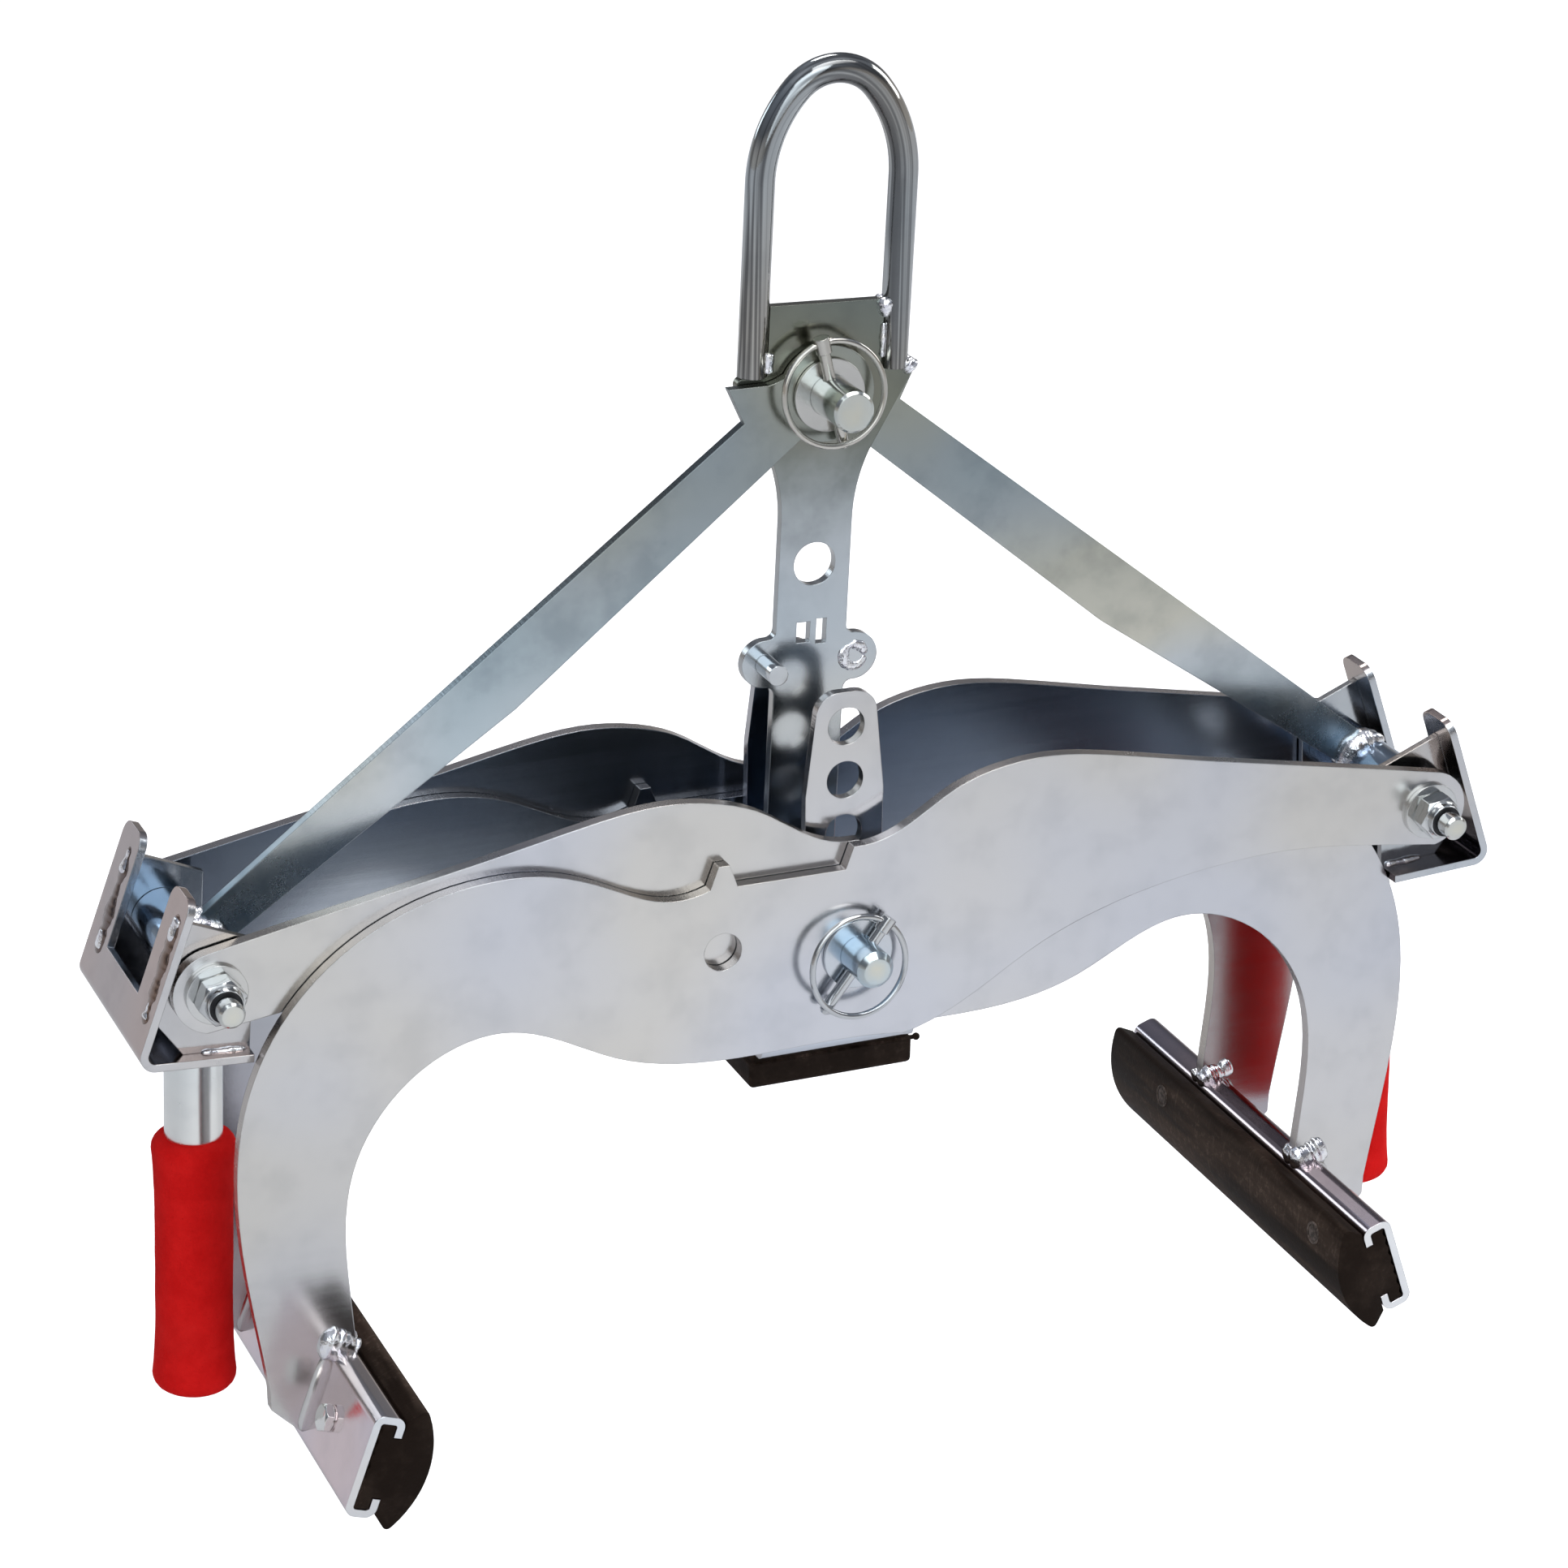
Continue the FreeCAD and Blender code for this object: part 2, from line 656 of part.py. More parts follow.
def hanger():
    top = top_pin_height + hanger_top_rise
    shoulder = top_pin_height + shoulder_rise
    waist = top_pin_height - shoulder_drop
    bar = top_pin_height - bar_drop
    foot = pivot_height + pivot_pin_diameter / 2 + hanger_stop_gap
    half = hanger_width / 2
    bow = vec(half + (waist_width / 2 - half) * waist_bow_share / 2, (waist + bar) / 2)
    edges = [segment(vec(-hanger_top_width / 2, top), vec(hanger_top_width / 2, top))]
    for side in (-1, 1):
        joint = side * hanger_top_width / 2
        edges += [segment(vec(joint, top), vec(joint, shoulder)),
                  segment(vec(joint, shoulder), vec(side * shoulder_width / 2, shoulder)),
                  segment(vec(side * shoulder_width / 2, shoulder), vec(side * waist_width / 2, waist)),
                  arc(vec(side * waist_width / 2, waist), vec(side * bow.x, bow.z), vec(side * half, bar)),
                  segment(vec(side * half, bar), vec(side * half, foot + hanger_foot_round)),
                  segment(vec(side * half, foot + hanger_foot_round),
                          vec(side * (half - hanger_foot_round), foot))]
    edges.append(segment(vec(hanger_foot_round - half, foot), vec(half - hanger_foot_round, foot)))
    front = -hanger_plate / 2
    body = slab(Part.__sortEdges__(edges), front, hanger_plate)
    outer = shoulder_width / 2 - shoulder_round / 2
    body = body.makeFillet(shoulder_round, along_y(body, lambda p: abs(p.x) > outer))
    ear_height = top_pin_height - ear_drop
    web = Part.makeBox(2 * ear_reach, hanger_plate, 2 * ear_radius)
    web.translate(FreeCAD.Vector(-ear_reach, front, ear_height - ear_radius))
    lobes = [cross_rod(2 * ear_radius, side * ear_reach, ear_height, front, -front) for side in (-1, 1)]
    body = body.multiFuse([web] + lobes).removeSplitter()
    near = hanger_plate / 4
    inside = along_y(body, lambda p: abs(abs(p.x) - half) < near
                     and abs(abs(p.z - ear_height) - ear_radius) < near)
    body = body.makeFillet((ear_reach - half) * ear_fillet_share, inside)
    start = front - overrun
    stop = overrun - front
    cuts = [cross_rod(top_pin_diameter + 2 * running_clearance, 0, top_pin_height, start, stop),
            cross_rod(hanger_hole_diameter, 0, top_pin_height - hanger_hole_drop, start, stop)]
    cuts += [cross_rod(stud_diameter, side * ear_reach, ear_height, start, stop) for side in (-1, 1)]
    for place, width, height in ((left_slot_place, left_slot_width, left_slot_height),
                                 (right_slot_place, right_slot_width, right_slot_height)):
        slot = Part.makeBox(width, stop - start, height)
        slot.translate(FreeCAD.Vector(place - width / 2, start, top_pin_height - slot_drop - height / 2))
        cuts.append(slot)
    return body.cut(Part.Compound(cuts))


def lifting_bail():
    """Round bar bent to a tall loop: legs, side arcs and a tighter crown arc."""
    foot = top_pin_height + shoulder_rise
    spring = top_pin_height + bail_leg_rise
    crown = bail_rise - bail_crown_radius
    chord = crown ** 2 + bail_reach ** 2 - bail_crown_radius ** 2
    side_radius = chord / (2 * (bail_reach - bail_crown_radius))
    centre = bail_reach - side_radius
    meet = math.atan2(crown, -centre)
    half_meet = meet / 2
    crown_top = vec(0, spring + bail_rise)

    def on_side(side, angle):
        return vec(side * (centre + side_radius * math.cos(angle)), spring + side_radius * math.sin(angle))

    path = Part.Wire([segment(vec(-bail_reach, foot), vec(-bail_reach, spring)),
                      arc(vec(-bail_reach, spring), on_side(-1, half_meet), on_side(-1, meet)),
                      arc(on_side(-1, meet), crown_top, on_side(1, meet)),
                      arc(on_side(1, meet), on_side(1, half_meet), vec(bail_reach, spring)),
                      segment(vec(bail_reach, spring), vec(bail_reach, foot))])
    circle = Part.Circle(vec(-bail_reach, foot), FreeCAD.Vector(0, 0, 1), bail_bar / 2)
    return path.makePipeShell([Part.Wire(circle.toShape())], True, True)


def guide_stud(side):
    """Stud through an ear, the left one to the front and the right one to the back."""
    half = hanger_plate / 2
    height = top_pin_height - ear_drop
    if side < 0:
        return cross_rod(stud_diameter, -ear_reach, height, -half - stud_length, half)
    return cross_rod(stud_diameter, ear_reach, height, -half, half + stud_length)


# Pins with a head at the back, a cross hole for the lynch pin and a chamfered nose
def headed_pin(diameter, height, front_seat, back_seat, nose_length, chamfer):
    lynch = front_seat - pin_washer - lynch_stand_off
    front = lynch - nose_length
    body = cross_rod(diameter, 0, height, front, back_seat + pin_washer)
    nose = [e for e in body.Edges if e.BoundBox.YMax < front + chamfer]
    body = body.makeChamfer(chamfer, nose)
    back = back_seat + pin_washer
    return body.fuse(cross_rod(pin_head_diameter, 0, height, back, back + pin_head_length))


def pin_washer_ring(diameter, height, front, thickness):
    body = cross_rod(pin_washer_diameter, 0, height, front, front + thickness)
    return body.cut(cross_rod(diameter, 0, height, front - overrun, front + thickness + overrun))


ring_radius = (ring_diameter - ring_wire) / 2
head_half = lynch_head_diameter / 2
ring_half_gap = head_half + ring_side_gap
hinge_reach = math.sqrt(ring_radius ** 2 - ring_half_gap ** 2)
ring_clear = (lynch_diameter + ring_wire) / 2 + ring_side_gap
ring_tilt = math.asin(ring_clear / (hinge_reach + ring_radius))


def lynch_pin():
    """Cross pin along Z about the pin's axis at the origin, head up, hinge hole along X."""
    high = hinge_reach + lynch_head_past
    low = high - lynch_length
    shaft = rod(lynch_diameter, hinge_reach - low, vec(0, low), vec(0, 1))
    tip = [e for e in shaft.Edges if e.BoundBox.ZMax < low + lynch_diameter / 4]
    shaft = shaft.makeChamfer(lynch_diameter / 4, tip)
    head = rod(lynch_head_diameter, lynch_head_length, vec(0, high - lynch_head_length), vec(0, 1))
    hole = rod(ring_wire + 2 * running_clearance, lynch_head_diameter + 2 * overrun,
               vec(-head_half - overrun, hinge_reach), vec(1, 0))
    return shaft.fuse(head).cut(hole)


def lynch_ring():
    """Spring ring about the pin's axis, its two ends bent into the head's hinge hole."""
    start = vec(ring_half_gap, hinge_reach)
    end = vec(-ring_half_gap, hinge_reach)
    path = Part.Wire(arc(start, vec(0, -ring_radius), end))
    section = Part.Circle(start, vec(hinge_reach, -ring_half_gap), ring_wire / 2)
    ring = path.makePipeShell([Part.Wire(section.toShape())], True, True)
    for side in (-1, 1):
        ends = vec(side * ring_half_gap, hinge_reach)
        stub = rod(ring_wire, ring_half_gap - head_half + ring_stub_depth, ends, vec(-side, 0))
        ring = ring.fuse(stub).fuse(Part.makeSphere(ring_wire / 2, ends))
    ring.rotate(vec(0, hinge_reach), vec(-1, 0), math.degrees(ring_tilt))
    return ring


def placed_lynch(shape, height, front_seat, angle, shift):
    """Puts a cross pin or its ring in a pin's nose, turned about it and pushed along by the shift."""
    placed = shape.copy()
    turn = FreeCAD.Rotation(FreeCAD.Vector(0, 1, 0), angle)
    place = FreeCAD.Vector(0, front_seat - pin_washer - lynch_stand_off, height)
    place = place + turn.multVec(FreeCAD.Vector(0, 0, shift))
    placed.Placement = FreeCAD.Placement(place, turn).multiply(shape.Placement)
    return placed


pieces["hanger_plate"] = hanger()
pieces["lifting_bail"] = lifting_bail()
pieces["guide_stud_front"] = guide_stud(-1)
pieces["guide_stud_rear"] = guide_stud(1)
# The hanger swings on the top pin and rests a little to one side
for name in ("hanger_plate", "lifting_bail", "guide_stud_front", "guide_stud_rear"):
    pieces[name].rotate(vec(0, top_pin_height), FreeCAD.Vector(0, 1, 0), hanger_lean)
link_back = link_front + link_plate
pin_places = (("top", top_pin_diameter, top_pin_height, link_back + end_play, link_back + end_play,
               top_lynch_angle, top_lynch_shift, top_pin_nose, top_pin_chamfer),
              ("pivot", pivot_pin_diameter, pivot_height, outer_back + end_play, outer_back + end_play,
               pivot_lynch_angle, pivot_lynch_shift, pivot_pin_nose, pivot_pin_chamfer))
for name, diameter, height, front_seat, back_seat, angle, shift, nose_length, chamfer in pin_places:
    lynch = placed_lynch(lynch_pin(), height, -front_seat, angle, shift)
    cross_bore = rod(lynch_diameter + 2 * running_clearance, 2 * diameter, vec(0, -diameter), vec(0, 1))
    bore = placed_lynch(cross_bore, height, -front_seat, angle, shift)
    pin = headed_pin(diameter, height, -front_seat, back_seat, nose_length, chamfer)
    pieces[name + "_pin"] = pin.cut(bore)
    pieces[name + "_washer_front"] = pin_washer_ring(diameter, height, -front_seat - pin_washer, pin_washer)
    pieces[name + "_washer_rear"] = pin_washer_ring(diameter, height, back_seat, pin_washer)
    pieces[name + "_lynch_pin"] = lynch
    pieces[name + "_lynch_ring"] = placed_lynch(lynch_ring(), height, -front_seat, angle, shift)


# Carrier: U bracket hung on the pivot pin, with two tongues and a rubber foot
carrier_out = inner_face - carrier_side_gap
carrier_floor = pivot_height - carrier_floor_drop


def tongue_outline():
    low = carrier_floor - carrier_plate
    skirt = low + carrier_skirt
    neck = skirt + tongue_neck_rise
    top = pivot_height + tongue_top_rise
    round_start = top - tongue_top_round
    wide = carrier_width / 2
    narrow = tongue_width / 2
    tip = tongue_top_width / 2
    edges = [segment(vec(-wide, low), vec(wide, low))]
    for side in (-1, 1):
        edges += [segment(vec(side * wide, low), vec(side * wide, skirt)),
                  segment(vec(side * wide, skirt), vec(side * narrow, neck)),
                  segment(vec(side * narrow, neck), vec(side * narrow, tongue_straight)),
                  segment(vec(side * narrow, tongue_straight), vec(side * tip, round_start)),
                  arc(vec(side * tip, round_start),
                      vec(side * (tip - tongue_top_round * (1 - math.cos(math.pi / 4))),
                          round_start + tongue_top_round * math.sin(math.pi / 4)),
                      vec(side * (tip - tongue_top_round), top))]
    edges.append(segment(vec(tongue_top_round - tip, top), vec(tip - tongue_top_round, top)))
    return Part.__sortEdges__(edges)


tongue_straight_share = 0.6
tongue_straight = pivot_height + tongue_top_rise * tongue_straight_share


def carrier_bracket():
    front = slab(tongue_outline(), -carrier_out, carrier_plate)
    back = slab(tongue_outline(), carrier_out - carrier_plate, carrier_plate)
    base = Part.makeBox(carrier_width, 2 * carrier_out, carrier_plate)
    base.translate(FreeCAD.Vector(-carrier_width / 2, -carrier_out, carrier_floor - carrier_plate))
    body = base.multiFuse([front, back]).removeSplitter()
    low = carrier_floor - carrier_plate
    near = carrier_plate / 4
    corners = [e for e in body.Edges if e.BoundBox.ZMax < low + near and e.BoundBox.YLength < near
               and abs(e.CenterOfMass.y) > carrier_out - near]
    body = body.makeFillet(carrier_plate, corners)
    holes = []
    for step in range(tongue_hole_count):
        height = pivot_height + step * tongue_hole_pitch
        holes.append(cross_rod(pivot_pin_diameter, 0, height, -inner_face, inner_face))
    for place in foot_screw_places():
        holes.append(rod(foot_screw_diameter, carrier_plate + 2 * overrun,
                         place - vec(0, carrier_plate + overrun), vec(0, 1)))
    return body.cut(Part.Compound(holes))


def foot_screw_places():
    return [vec(side * foot_screw_spacing / 2, carrier_floor) for side in (-1, 1)]


def foot_rubber():
    top = carrier_floor - carrier_plate
    body = Part.makeBox(foot_length, foot_width, foot_height)
    body.translate(FreeCAD.Vector(-foot_length / 2, -foot_width / 2, top - foot_height))
    body = body.makeFillet(foot_round, [e for e in body.Edges if e.BoundBox.ZMax < top - foot_height / 2])
    nib_side = foot_width / 2 - nib_ball
    nib_height = top - nib_drop
    for side in (-1, 1):
        start = FreeCAD.Vector(side * foot_length / 2, -side * nib_side, nib_height)
        way = FreeCAD.Vector(side, 0, 0)
        neck = rod(nib_neck_diameter, nib_neck + nib_ball / 2, start, way)
        ball = Part.makeSphere(nib_ball / 2, start + way * (nib_neck + nib_ball / 2))
        body = body.multiFuse([neck, ball])
    depth = vec(0, carrier_plate + foot_screw_depth)
    bores = [rod(foot_screw_diameter, foot_screw_depth + overrun, place - depth, vec(0, 1))
             for place in foot_screw_places()]
    return body.cut(Part.Compound(bores))


def foot_screws():
    screws = []
    for place in foot_screw_places():
        low = place - vec(0, carrier_plate + foot_screw_depth)
        shank = rod(foot_screw_diameter, carrier_plate + foot_screw_depth, low, vec(0, 1))
        head = rod(foot_screw_head_diameter, foot_screw_head, place, vec(0, 1))
        top = [e for e in head.Edges if e.BoundBox.ZMin > place.z + foot_screw_head / 2]
        screws.append(shank.fuse(head.makeFillet(foot_screw_head / 2, top)))
    return Part.Compound(screws)


pieces["carrier_bracket"] = carrier_bracket()
# Spacers on the pivot pin fill the space between the carrier and the arms
spacer = carrier_side_gap - 2 * spacer_clearance
for name, front in (("front", -inner_face + spacer_clearance), ("rear", carrier_out + spacer_clearance)):
    pieces["pivot_spacer_" + name] = pin_washer_ring(pivot_pin_diameter, pivot_height, front, spacer)
pieces["foot_rubber"] = foot_rubber()
pieces["foot_screws"] = foot_screws()

os.makedirs("parts", exist_ok=True)
for name, shape in pieces.items():
    solids = shape.Solids
    if not shape.isValid() or not solids:
        raise ValueError("piece does not hold: " + name)
    keep = solids[0] if len(solids) == 1 else Part.Compound(solids)
    keep.exportStep("parts/" + name + ".step")
print(len(pieces), "pieces")
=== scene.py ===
import bpy
import bmesh
import math
from mathutils import Matrix, Vector, noise


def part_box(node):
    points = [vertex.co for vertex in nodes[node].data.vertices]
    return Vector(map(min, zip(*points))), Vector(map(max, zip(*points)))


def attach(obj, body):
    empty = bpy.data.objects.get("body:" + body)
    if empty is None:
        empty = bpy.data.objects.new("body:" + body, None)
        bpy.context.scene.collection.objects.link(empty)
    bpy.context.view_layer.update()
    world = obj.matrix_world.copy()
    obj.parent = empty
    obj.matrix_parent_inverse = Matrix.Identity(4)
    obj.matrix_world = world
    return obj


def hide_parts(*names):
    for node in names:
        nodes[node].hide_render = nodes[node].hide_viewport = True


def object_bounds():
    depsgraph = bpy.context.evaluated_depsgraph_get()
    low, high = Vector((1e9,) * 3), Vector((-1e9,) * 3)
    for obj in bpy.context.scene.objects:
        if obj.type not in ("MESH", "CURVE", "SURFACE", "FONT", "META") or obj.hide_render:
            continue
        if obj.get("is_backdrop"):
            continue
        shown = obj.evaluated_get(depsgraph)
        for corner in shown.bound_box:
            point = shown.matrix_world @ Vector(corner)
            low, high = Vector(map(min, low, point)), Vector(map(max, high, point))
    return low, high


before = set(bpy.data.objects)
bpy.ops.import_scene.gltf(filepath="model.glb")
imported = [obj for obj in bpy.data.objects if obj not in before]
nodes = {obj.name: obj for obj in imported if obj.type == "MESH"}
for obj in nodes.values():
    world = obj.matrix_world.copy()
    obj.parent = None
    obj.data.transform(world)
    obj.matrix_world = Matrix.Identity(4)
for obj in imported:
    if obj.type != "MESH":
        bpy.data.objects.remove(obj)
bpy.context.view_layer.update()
scene = bpy.context.scene


# Arm plates: two plates to each arm, laser cut from 5 mm steel and plated with bright zinc.
# The faces are satin with faint lilac, blue and straw tints left by the passivating bath,
# and the cut edges keep the laser's fine grooves, which run through the thickness.
class Shade:
    """One socket of a shader tree, on which plain sums add Math nodes."""

    def __init__(self, tree, socket=None):
        self.tree = tree
        self.socket = socket

    def add(self, kind, settings=None, sockets=None, out=0):
        """Adds a node, with its settings first, and gives one of its outputs."""
        node = self.tree.nodes.new(kind)
        for name, value in (settings or {}).items():
            if name == "stops":
                ramp = node.color_ramp.elements
                for spare in range(len(value) - len(ramp)):
                    ramp.new(0.5)
                for stop, (place, colour) in zip(ramp, value):
                    stop.position = place
                    stop.color = (*colour, 1)
            else:
                setattr(node, name, value)
        for name, value in (sockets or {}).items():
            if isinstance(value, Shade):
                self.tree.links.new(value.socket, node.inputs[name])
            else:
                node.inputs[name].default_value = value
        return Shade(self.tree, node.outputs[out])

    def sum(self, operation, first, second, clamp=False):
        settings = {"operation": operation, "use_clamp": clamp}
        return self.add("ShaderNodeMath", settings, {0: first, 1: second})

    def __add__(self, other):
        return self.sum("ADD", self, other)

    def __radd__(self, other):
        return self.sum("ADD", other, self)

    def __mul__(self, other):
        return self.sum("MULTIPLY", self, other)

    def __rmul__(self, other):
        return self.sum("MULTIPLY", other, self)

    def __sub__(self, other):
        return self.sum("SUBTRACT", self, other)

    def __rsub__(self, other):
        return self.sum("SUBTRACT", other, self)

    def unsigned(self):
        return self.sum("ABSOLUTE", self, 0)

    def ramp(self, low, high):
        """Rises smoothly from 0 to 1 as this value goes from low to high."""
        return self.add("ShaderNodeMapRange", {"interpolation_type": "SMOOTHSTEP"},
                        {"Value": self, "From Min": low, "From Max": high})

    def mix(self, first, second):
        """A colour between two, with this value as the share of the second."""
        return self.add("ShaderNodeMix", {"data_type": "RGBA"},
                        {"Factor": self, "A": first, "B": second}, "Result")

    def tinted(self, share, tint):
        """This colour times a tint, as far as the share goes."""
        return self.add("ShaderNodeMix", {"data_type": "RGBA", "blend_type": "MULTIPLY"},
                        {"Factor": share, "A": self, "B": (*tint, 1)}, "Result")

    def banded(self, stops):
        """A colour for this value, from the stops of a ramp."""
        return self.add("ShaderNodeValToRGB", {"stops": stops}, {"Fac": self})

    def stretched(self, scale):
        return self.add("ShaderNodeMapping", None, {"Vector": self, "Scale": scale})

    def part(self, axis):
        return self.add("ShaderNodeSeparateXYZ", None, {"Vector": self}, axis)

    def arched(self, height, squash):
        """The place across a round bar that stands upright to a height and then bends in an arch."""
        rise = self.part("Z") - height
        over = rise.sum("MAXIMUM", rise, 0) * squash
        wide = self.part("X") * self.part("X") + over * over
        reach = wide.sum("POWER", wide, 0.5)
        return self.add("ShaderNodeCombineXYZ", None, {"X": reach, "Y": self.part("Y")})

    def noise(self, scale, detail=2.0, rough=0.5):
        return self.add("ShaderNodeTexNoise", None,
                        {"Vector": self, "Scale": scale, "Detail": detail, "Roughness": rough})

    def near(self, point, reach):
        """A mark round a point, 1 at its middle and 0 at its reach."""
        gap = self.add("ShaderNodeVectorMath", {"operation": "DISTANCE"}, {0: self, 1: point}, "Value")
        return gap.ramp(reach, 0)

    def feed(self, shader, name):
        self.tree.links.new(self.socket, shader.inputs[name])

    def raise_surface(self, shader, strength, depth, rounding=None):
        """Takes this value as a height for the shader's bump, on edges rounded by a small radius."""
        sockets = {"Strength": strength, "Distance": depth, "Height": self}
        if rounding:
            sockets["Normal"] = self.add("ShaderNodeBevel", {"samples": 4}, {"Radius": rounding})
        self.add("ShaderNodeBump", None, sockets).feed(shader, "Normal")


def new_finish(name):
    """A new material with its shader and its object coordinates."""
    made = bpy.data.materials.new(name)
    made.use_nodes = True
    shader = made.node_tree.nodes["Principled BSDF"]
    return made, shader, Shade(made.node_tree).add("ShaderNodeTexCoord", out="Object")


edge_round = 0.0006
edge_grey = (0.79, 0.74, 0.71)
cloud_grey = (0.74, 0.75, 0.77)


def zinc(name, tints, rough, lines, line_depth=0.1, cloud_share=0.3, marks=(), cut="edges", facing_light_and_shade=(),
         height_shade=None, uneven=1.0, cut_tint_and_sheen=edge_grey, painted_streak=None, bend=None):
    """Zinc plating over steel: broad tints, soft clouds, rolling lines and a fine grain.
    Marks tint spots round points: dark marks by the jaw welds, painted shade, painted reflections and
    a plain beige on pin and stud ends. Facing light and shade lists painted light or painted shade for
    faces that look to or from the middle along an axis, in a range of heights, and height shade is
    painted shade, a tint that deepens from one height to another. The painted streak is a painted
    reflection that the rolling lines take, and bend the start and squash of an arch they follow.
    Cut names the cut faces: the edges of a plate that stands across Y, or the ends of a piece along Y.
    Their tint and sheen darkens them, or lightens them as a painted highlight."""
    made, shader, place = new_finish(name)
    broad = place.noise(9, 1)
    cool, plain, warm = tints
    colour = broad.banded([(0.36, cool), (0.5, plain), (0.63, warm)])
    cloud = place.noise(48, 4, 0.6)
    colour = colour.tinted(cloud.ramp(0.42, 0.7) * cloud_share, cloud_grey)
    line_place = place.arched(*bend) if bend else place
    line = line_place.stretched(lines).noise(1, 2, 0.6)
    grain = place.noise(1500, 1)
    roughness = rough + ((cloud - 0.5) * 0.16 + (line - 0.5) * 0.14 + (grain - 0.5) * 0.08) * uneven
    height = line * line_depth + grain * 0.05
    normal = place.add("ShaderNodeTexCoord", out="Normal")
    across = normal.part("Y")
    level = place.part("Z")
    # Painted light and shade: faces tinted lighter or darker by the way they look and by height.
    for tint, axis, start, end, low, high in facing_light_and_shade:
        facing = (normal.part(axis) * place.part(axis)).ramp(start, end)
        colour = colour.tinted(facing * level.ramp(low, high), tint)
    # Painted reflection: darker streaks along the rolling lines.
    if painted_streak:
        colour = colour.tinted(line.ramp(0.46, 0.62), painted_streak)
    # Painted shade: a tint that deepens from one height to another.
    if height_shade:
        tint, start, end = height_shade
        colour = colour.tinted((level + (cloud - 0.5) * 0.03).ramp(start, end), tint)
    # Cut faces take their own tint: darker for a dull cut, lighter as a painted highlight.
    if cut:
        edge = across.unsigned().ramp(0.4, 0.8)
        if cut == "edges":
            edge = 1 - edge
        groove = place.stretched((900, 14, 900)).noise(1, 2)
        height = height + edge * groove * 0.5
        roughness = roughness + edge * 0.06
        colour = colour.tinted(edge, cut_tint_and_sheen)
    # Marks: dark marks by the welds, painted shade, painted reflections and beige spots.
    for point, reach, stain in marks:
        halo = place.near(point, reach) * (0.25 + place.noise(130, 3) * 1.1)
        colour = halo.sum("MULTIPLY", halo, 0.85, True).mix(colour, stain)
        roughness = roughness + halo * 0.12
    colour.feed(shader, "Base Color")
    roughness.feed(shader, "Roughness")
    shader.inputs["Metallic"].default_value = 1
    height.raise_surface(shader, 0.3, 0.0004, edge_round)
    return made


def dress(finish, *names):
    for name in names:
        nodes[name].data.materials.clear()
        nodes[name].data.materials.append(finish)


# The jaw's own lines: its upper outer corner, the way down its web and the way in to the stone
jaw_tilt = math.radians(19.5)
jaw_corner = Vector((-0.2111, 0, 0.049))
jaw_down = Vector((-math.sin(jaw_tilt), 0, -math.cos(jaw_tilt)))
jaw_in = Vector((math.cos(jaw_tilt), 0, -math.sin(jaw_tilt)))
half_turn = Matrix.Rotation(math.pi, 4, "Z")


def at_jaw(inward, down, along=0.0):
    return jaw_corner + jaw_in * inward + jaw_down * down + Vector((0, along, 0))


leg_faces = (-0.0455, -0.0405, 0.035, 0.04)
# Dark marks on the leg faces just above the jaw welds.
weld_dark_tint = (0.34, 0.32, 0.35, 1)
weld_mark_place = (0.01, -0.006)
weld_mark_reach = 0.0085
leg_marks = []
for along in (leg_faces[0], leg_faces[2]):
    mark = at_jaw(*weld_mark_place, along)
    leg_marks += [(mark, weld_mark_reach, weld_dark_tint), (half_turn @ mark, weld_mark_reach, weld_dark_tint)]
# Painted shade: the plate faces that look inward, between the plates, are painted darker and bluer, less
# blue low down.
arm_zinc = zinc("arm_zinc", ((0.6, 0.615, 0.66), (0.63, 0.63, 0.64), (0.645, 0.63, 0.6)), 0.2,
                (5, 5, 320), marks=leg_marks, uneven=0.6,
                facing_light_and_shade=[((0.6, 0.66, 0.73), "Y", -0.004, -0.02, 0.08, 0.2),
                       ((0.68, 0.65, 0.68), "Y", -0.004, -0.02, 0.2, 0.08)])
dress(arm_zinc, "arm_a_front_plate", "arm_a_rear_plate", "arm_b_front_plate", "arm_b_rear_plate")


# Jaw channels: lengths of rolled steel strut channel with inward lips, plated with zinc.
# Each is welded to the feet of its two arm plates, with a lumpy bead on top and a flat one behind.
# Painted light and shade: the web's outward face is lightened, the top is painted darker on the right jaw
# than on the left, and the cut ends are lightened and blued as a painted highlight.
for side, painted_top_shade in (("left", (1.0, 1.02, 0.98)), ("right", (0.55, 0.51, 0.53))):
    channel_zinc = zinc(side + "_channel_zinc",
                        ((0.59, 0.575, 0.64), (0.63, 0.58, 0.615), (0.66, 0.57, 0.57)), 0.13,
                        (300, 4, 300), cut="ends", cut_tint_and_sheen=(1.3, 1.46, 1.42),
                        facing_light_and_shade=[((1.18, 1.15, 1.17), "X", 0.1, 0.18, 0, 0.001),
                               (painted_top_shade, "Z", 0.02, 0.04, 0, 0.001)])
    dress(channel_zinc, side + "_jaw_channel")
bead_step = 0.0005
bead_sides = 12


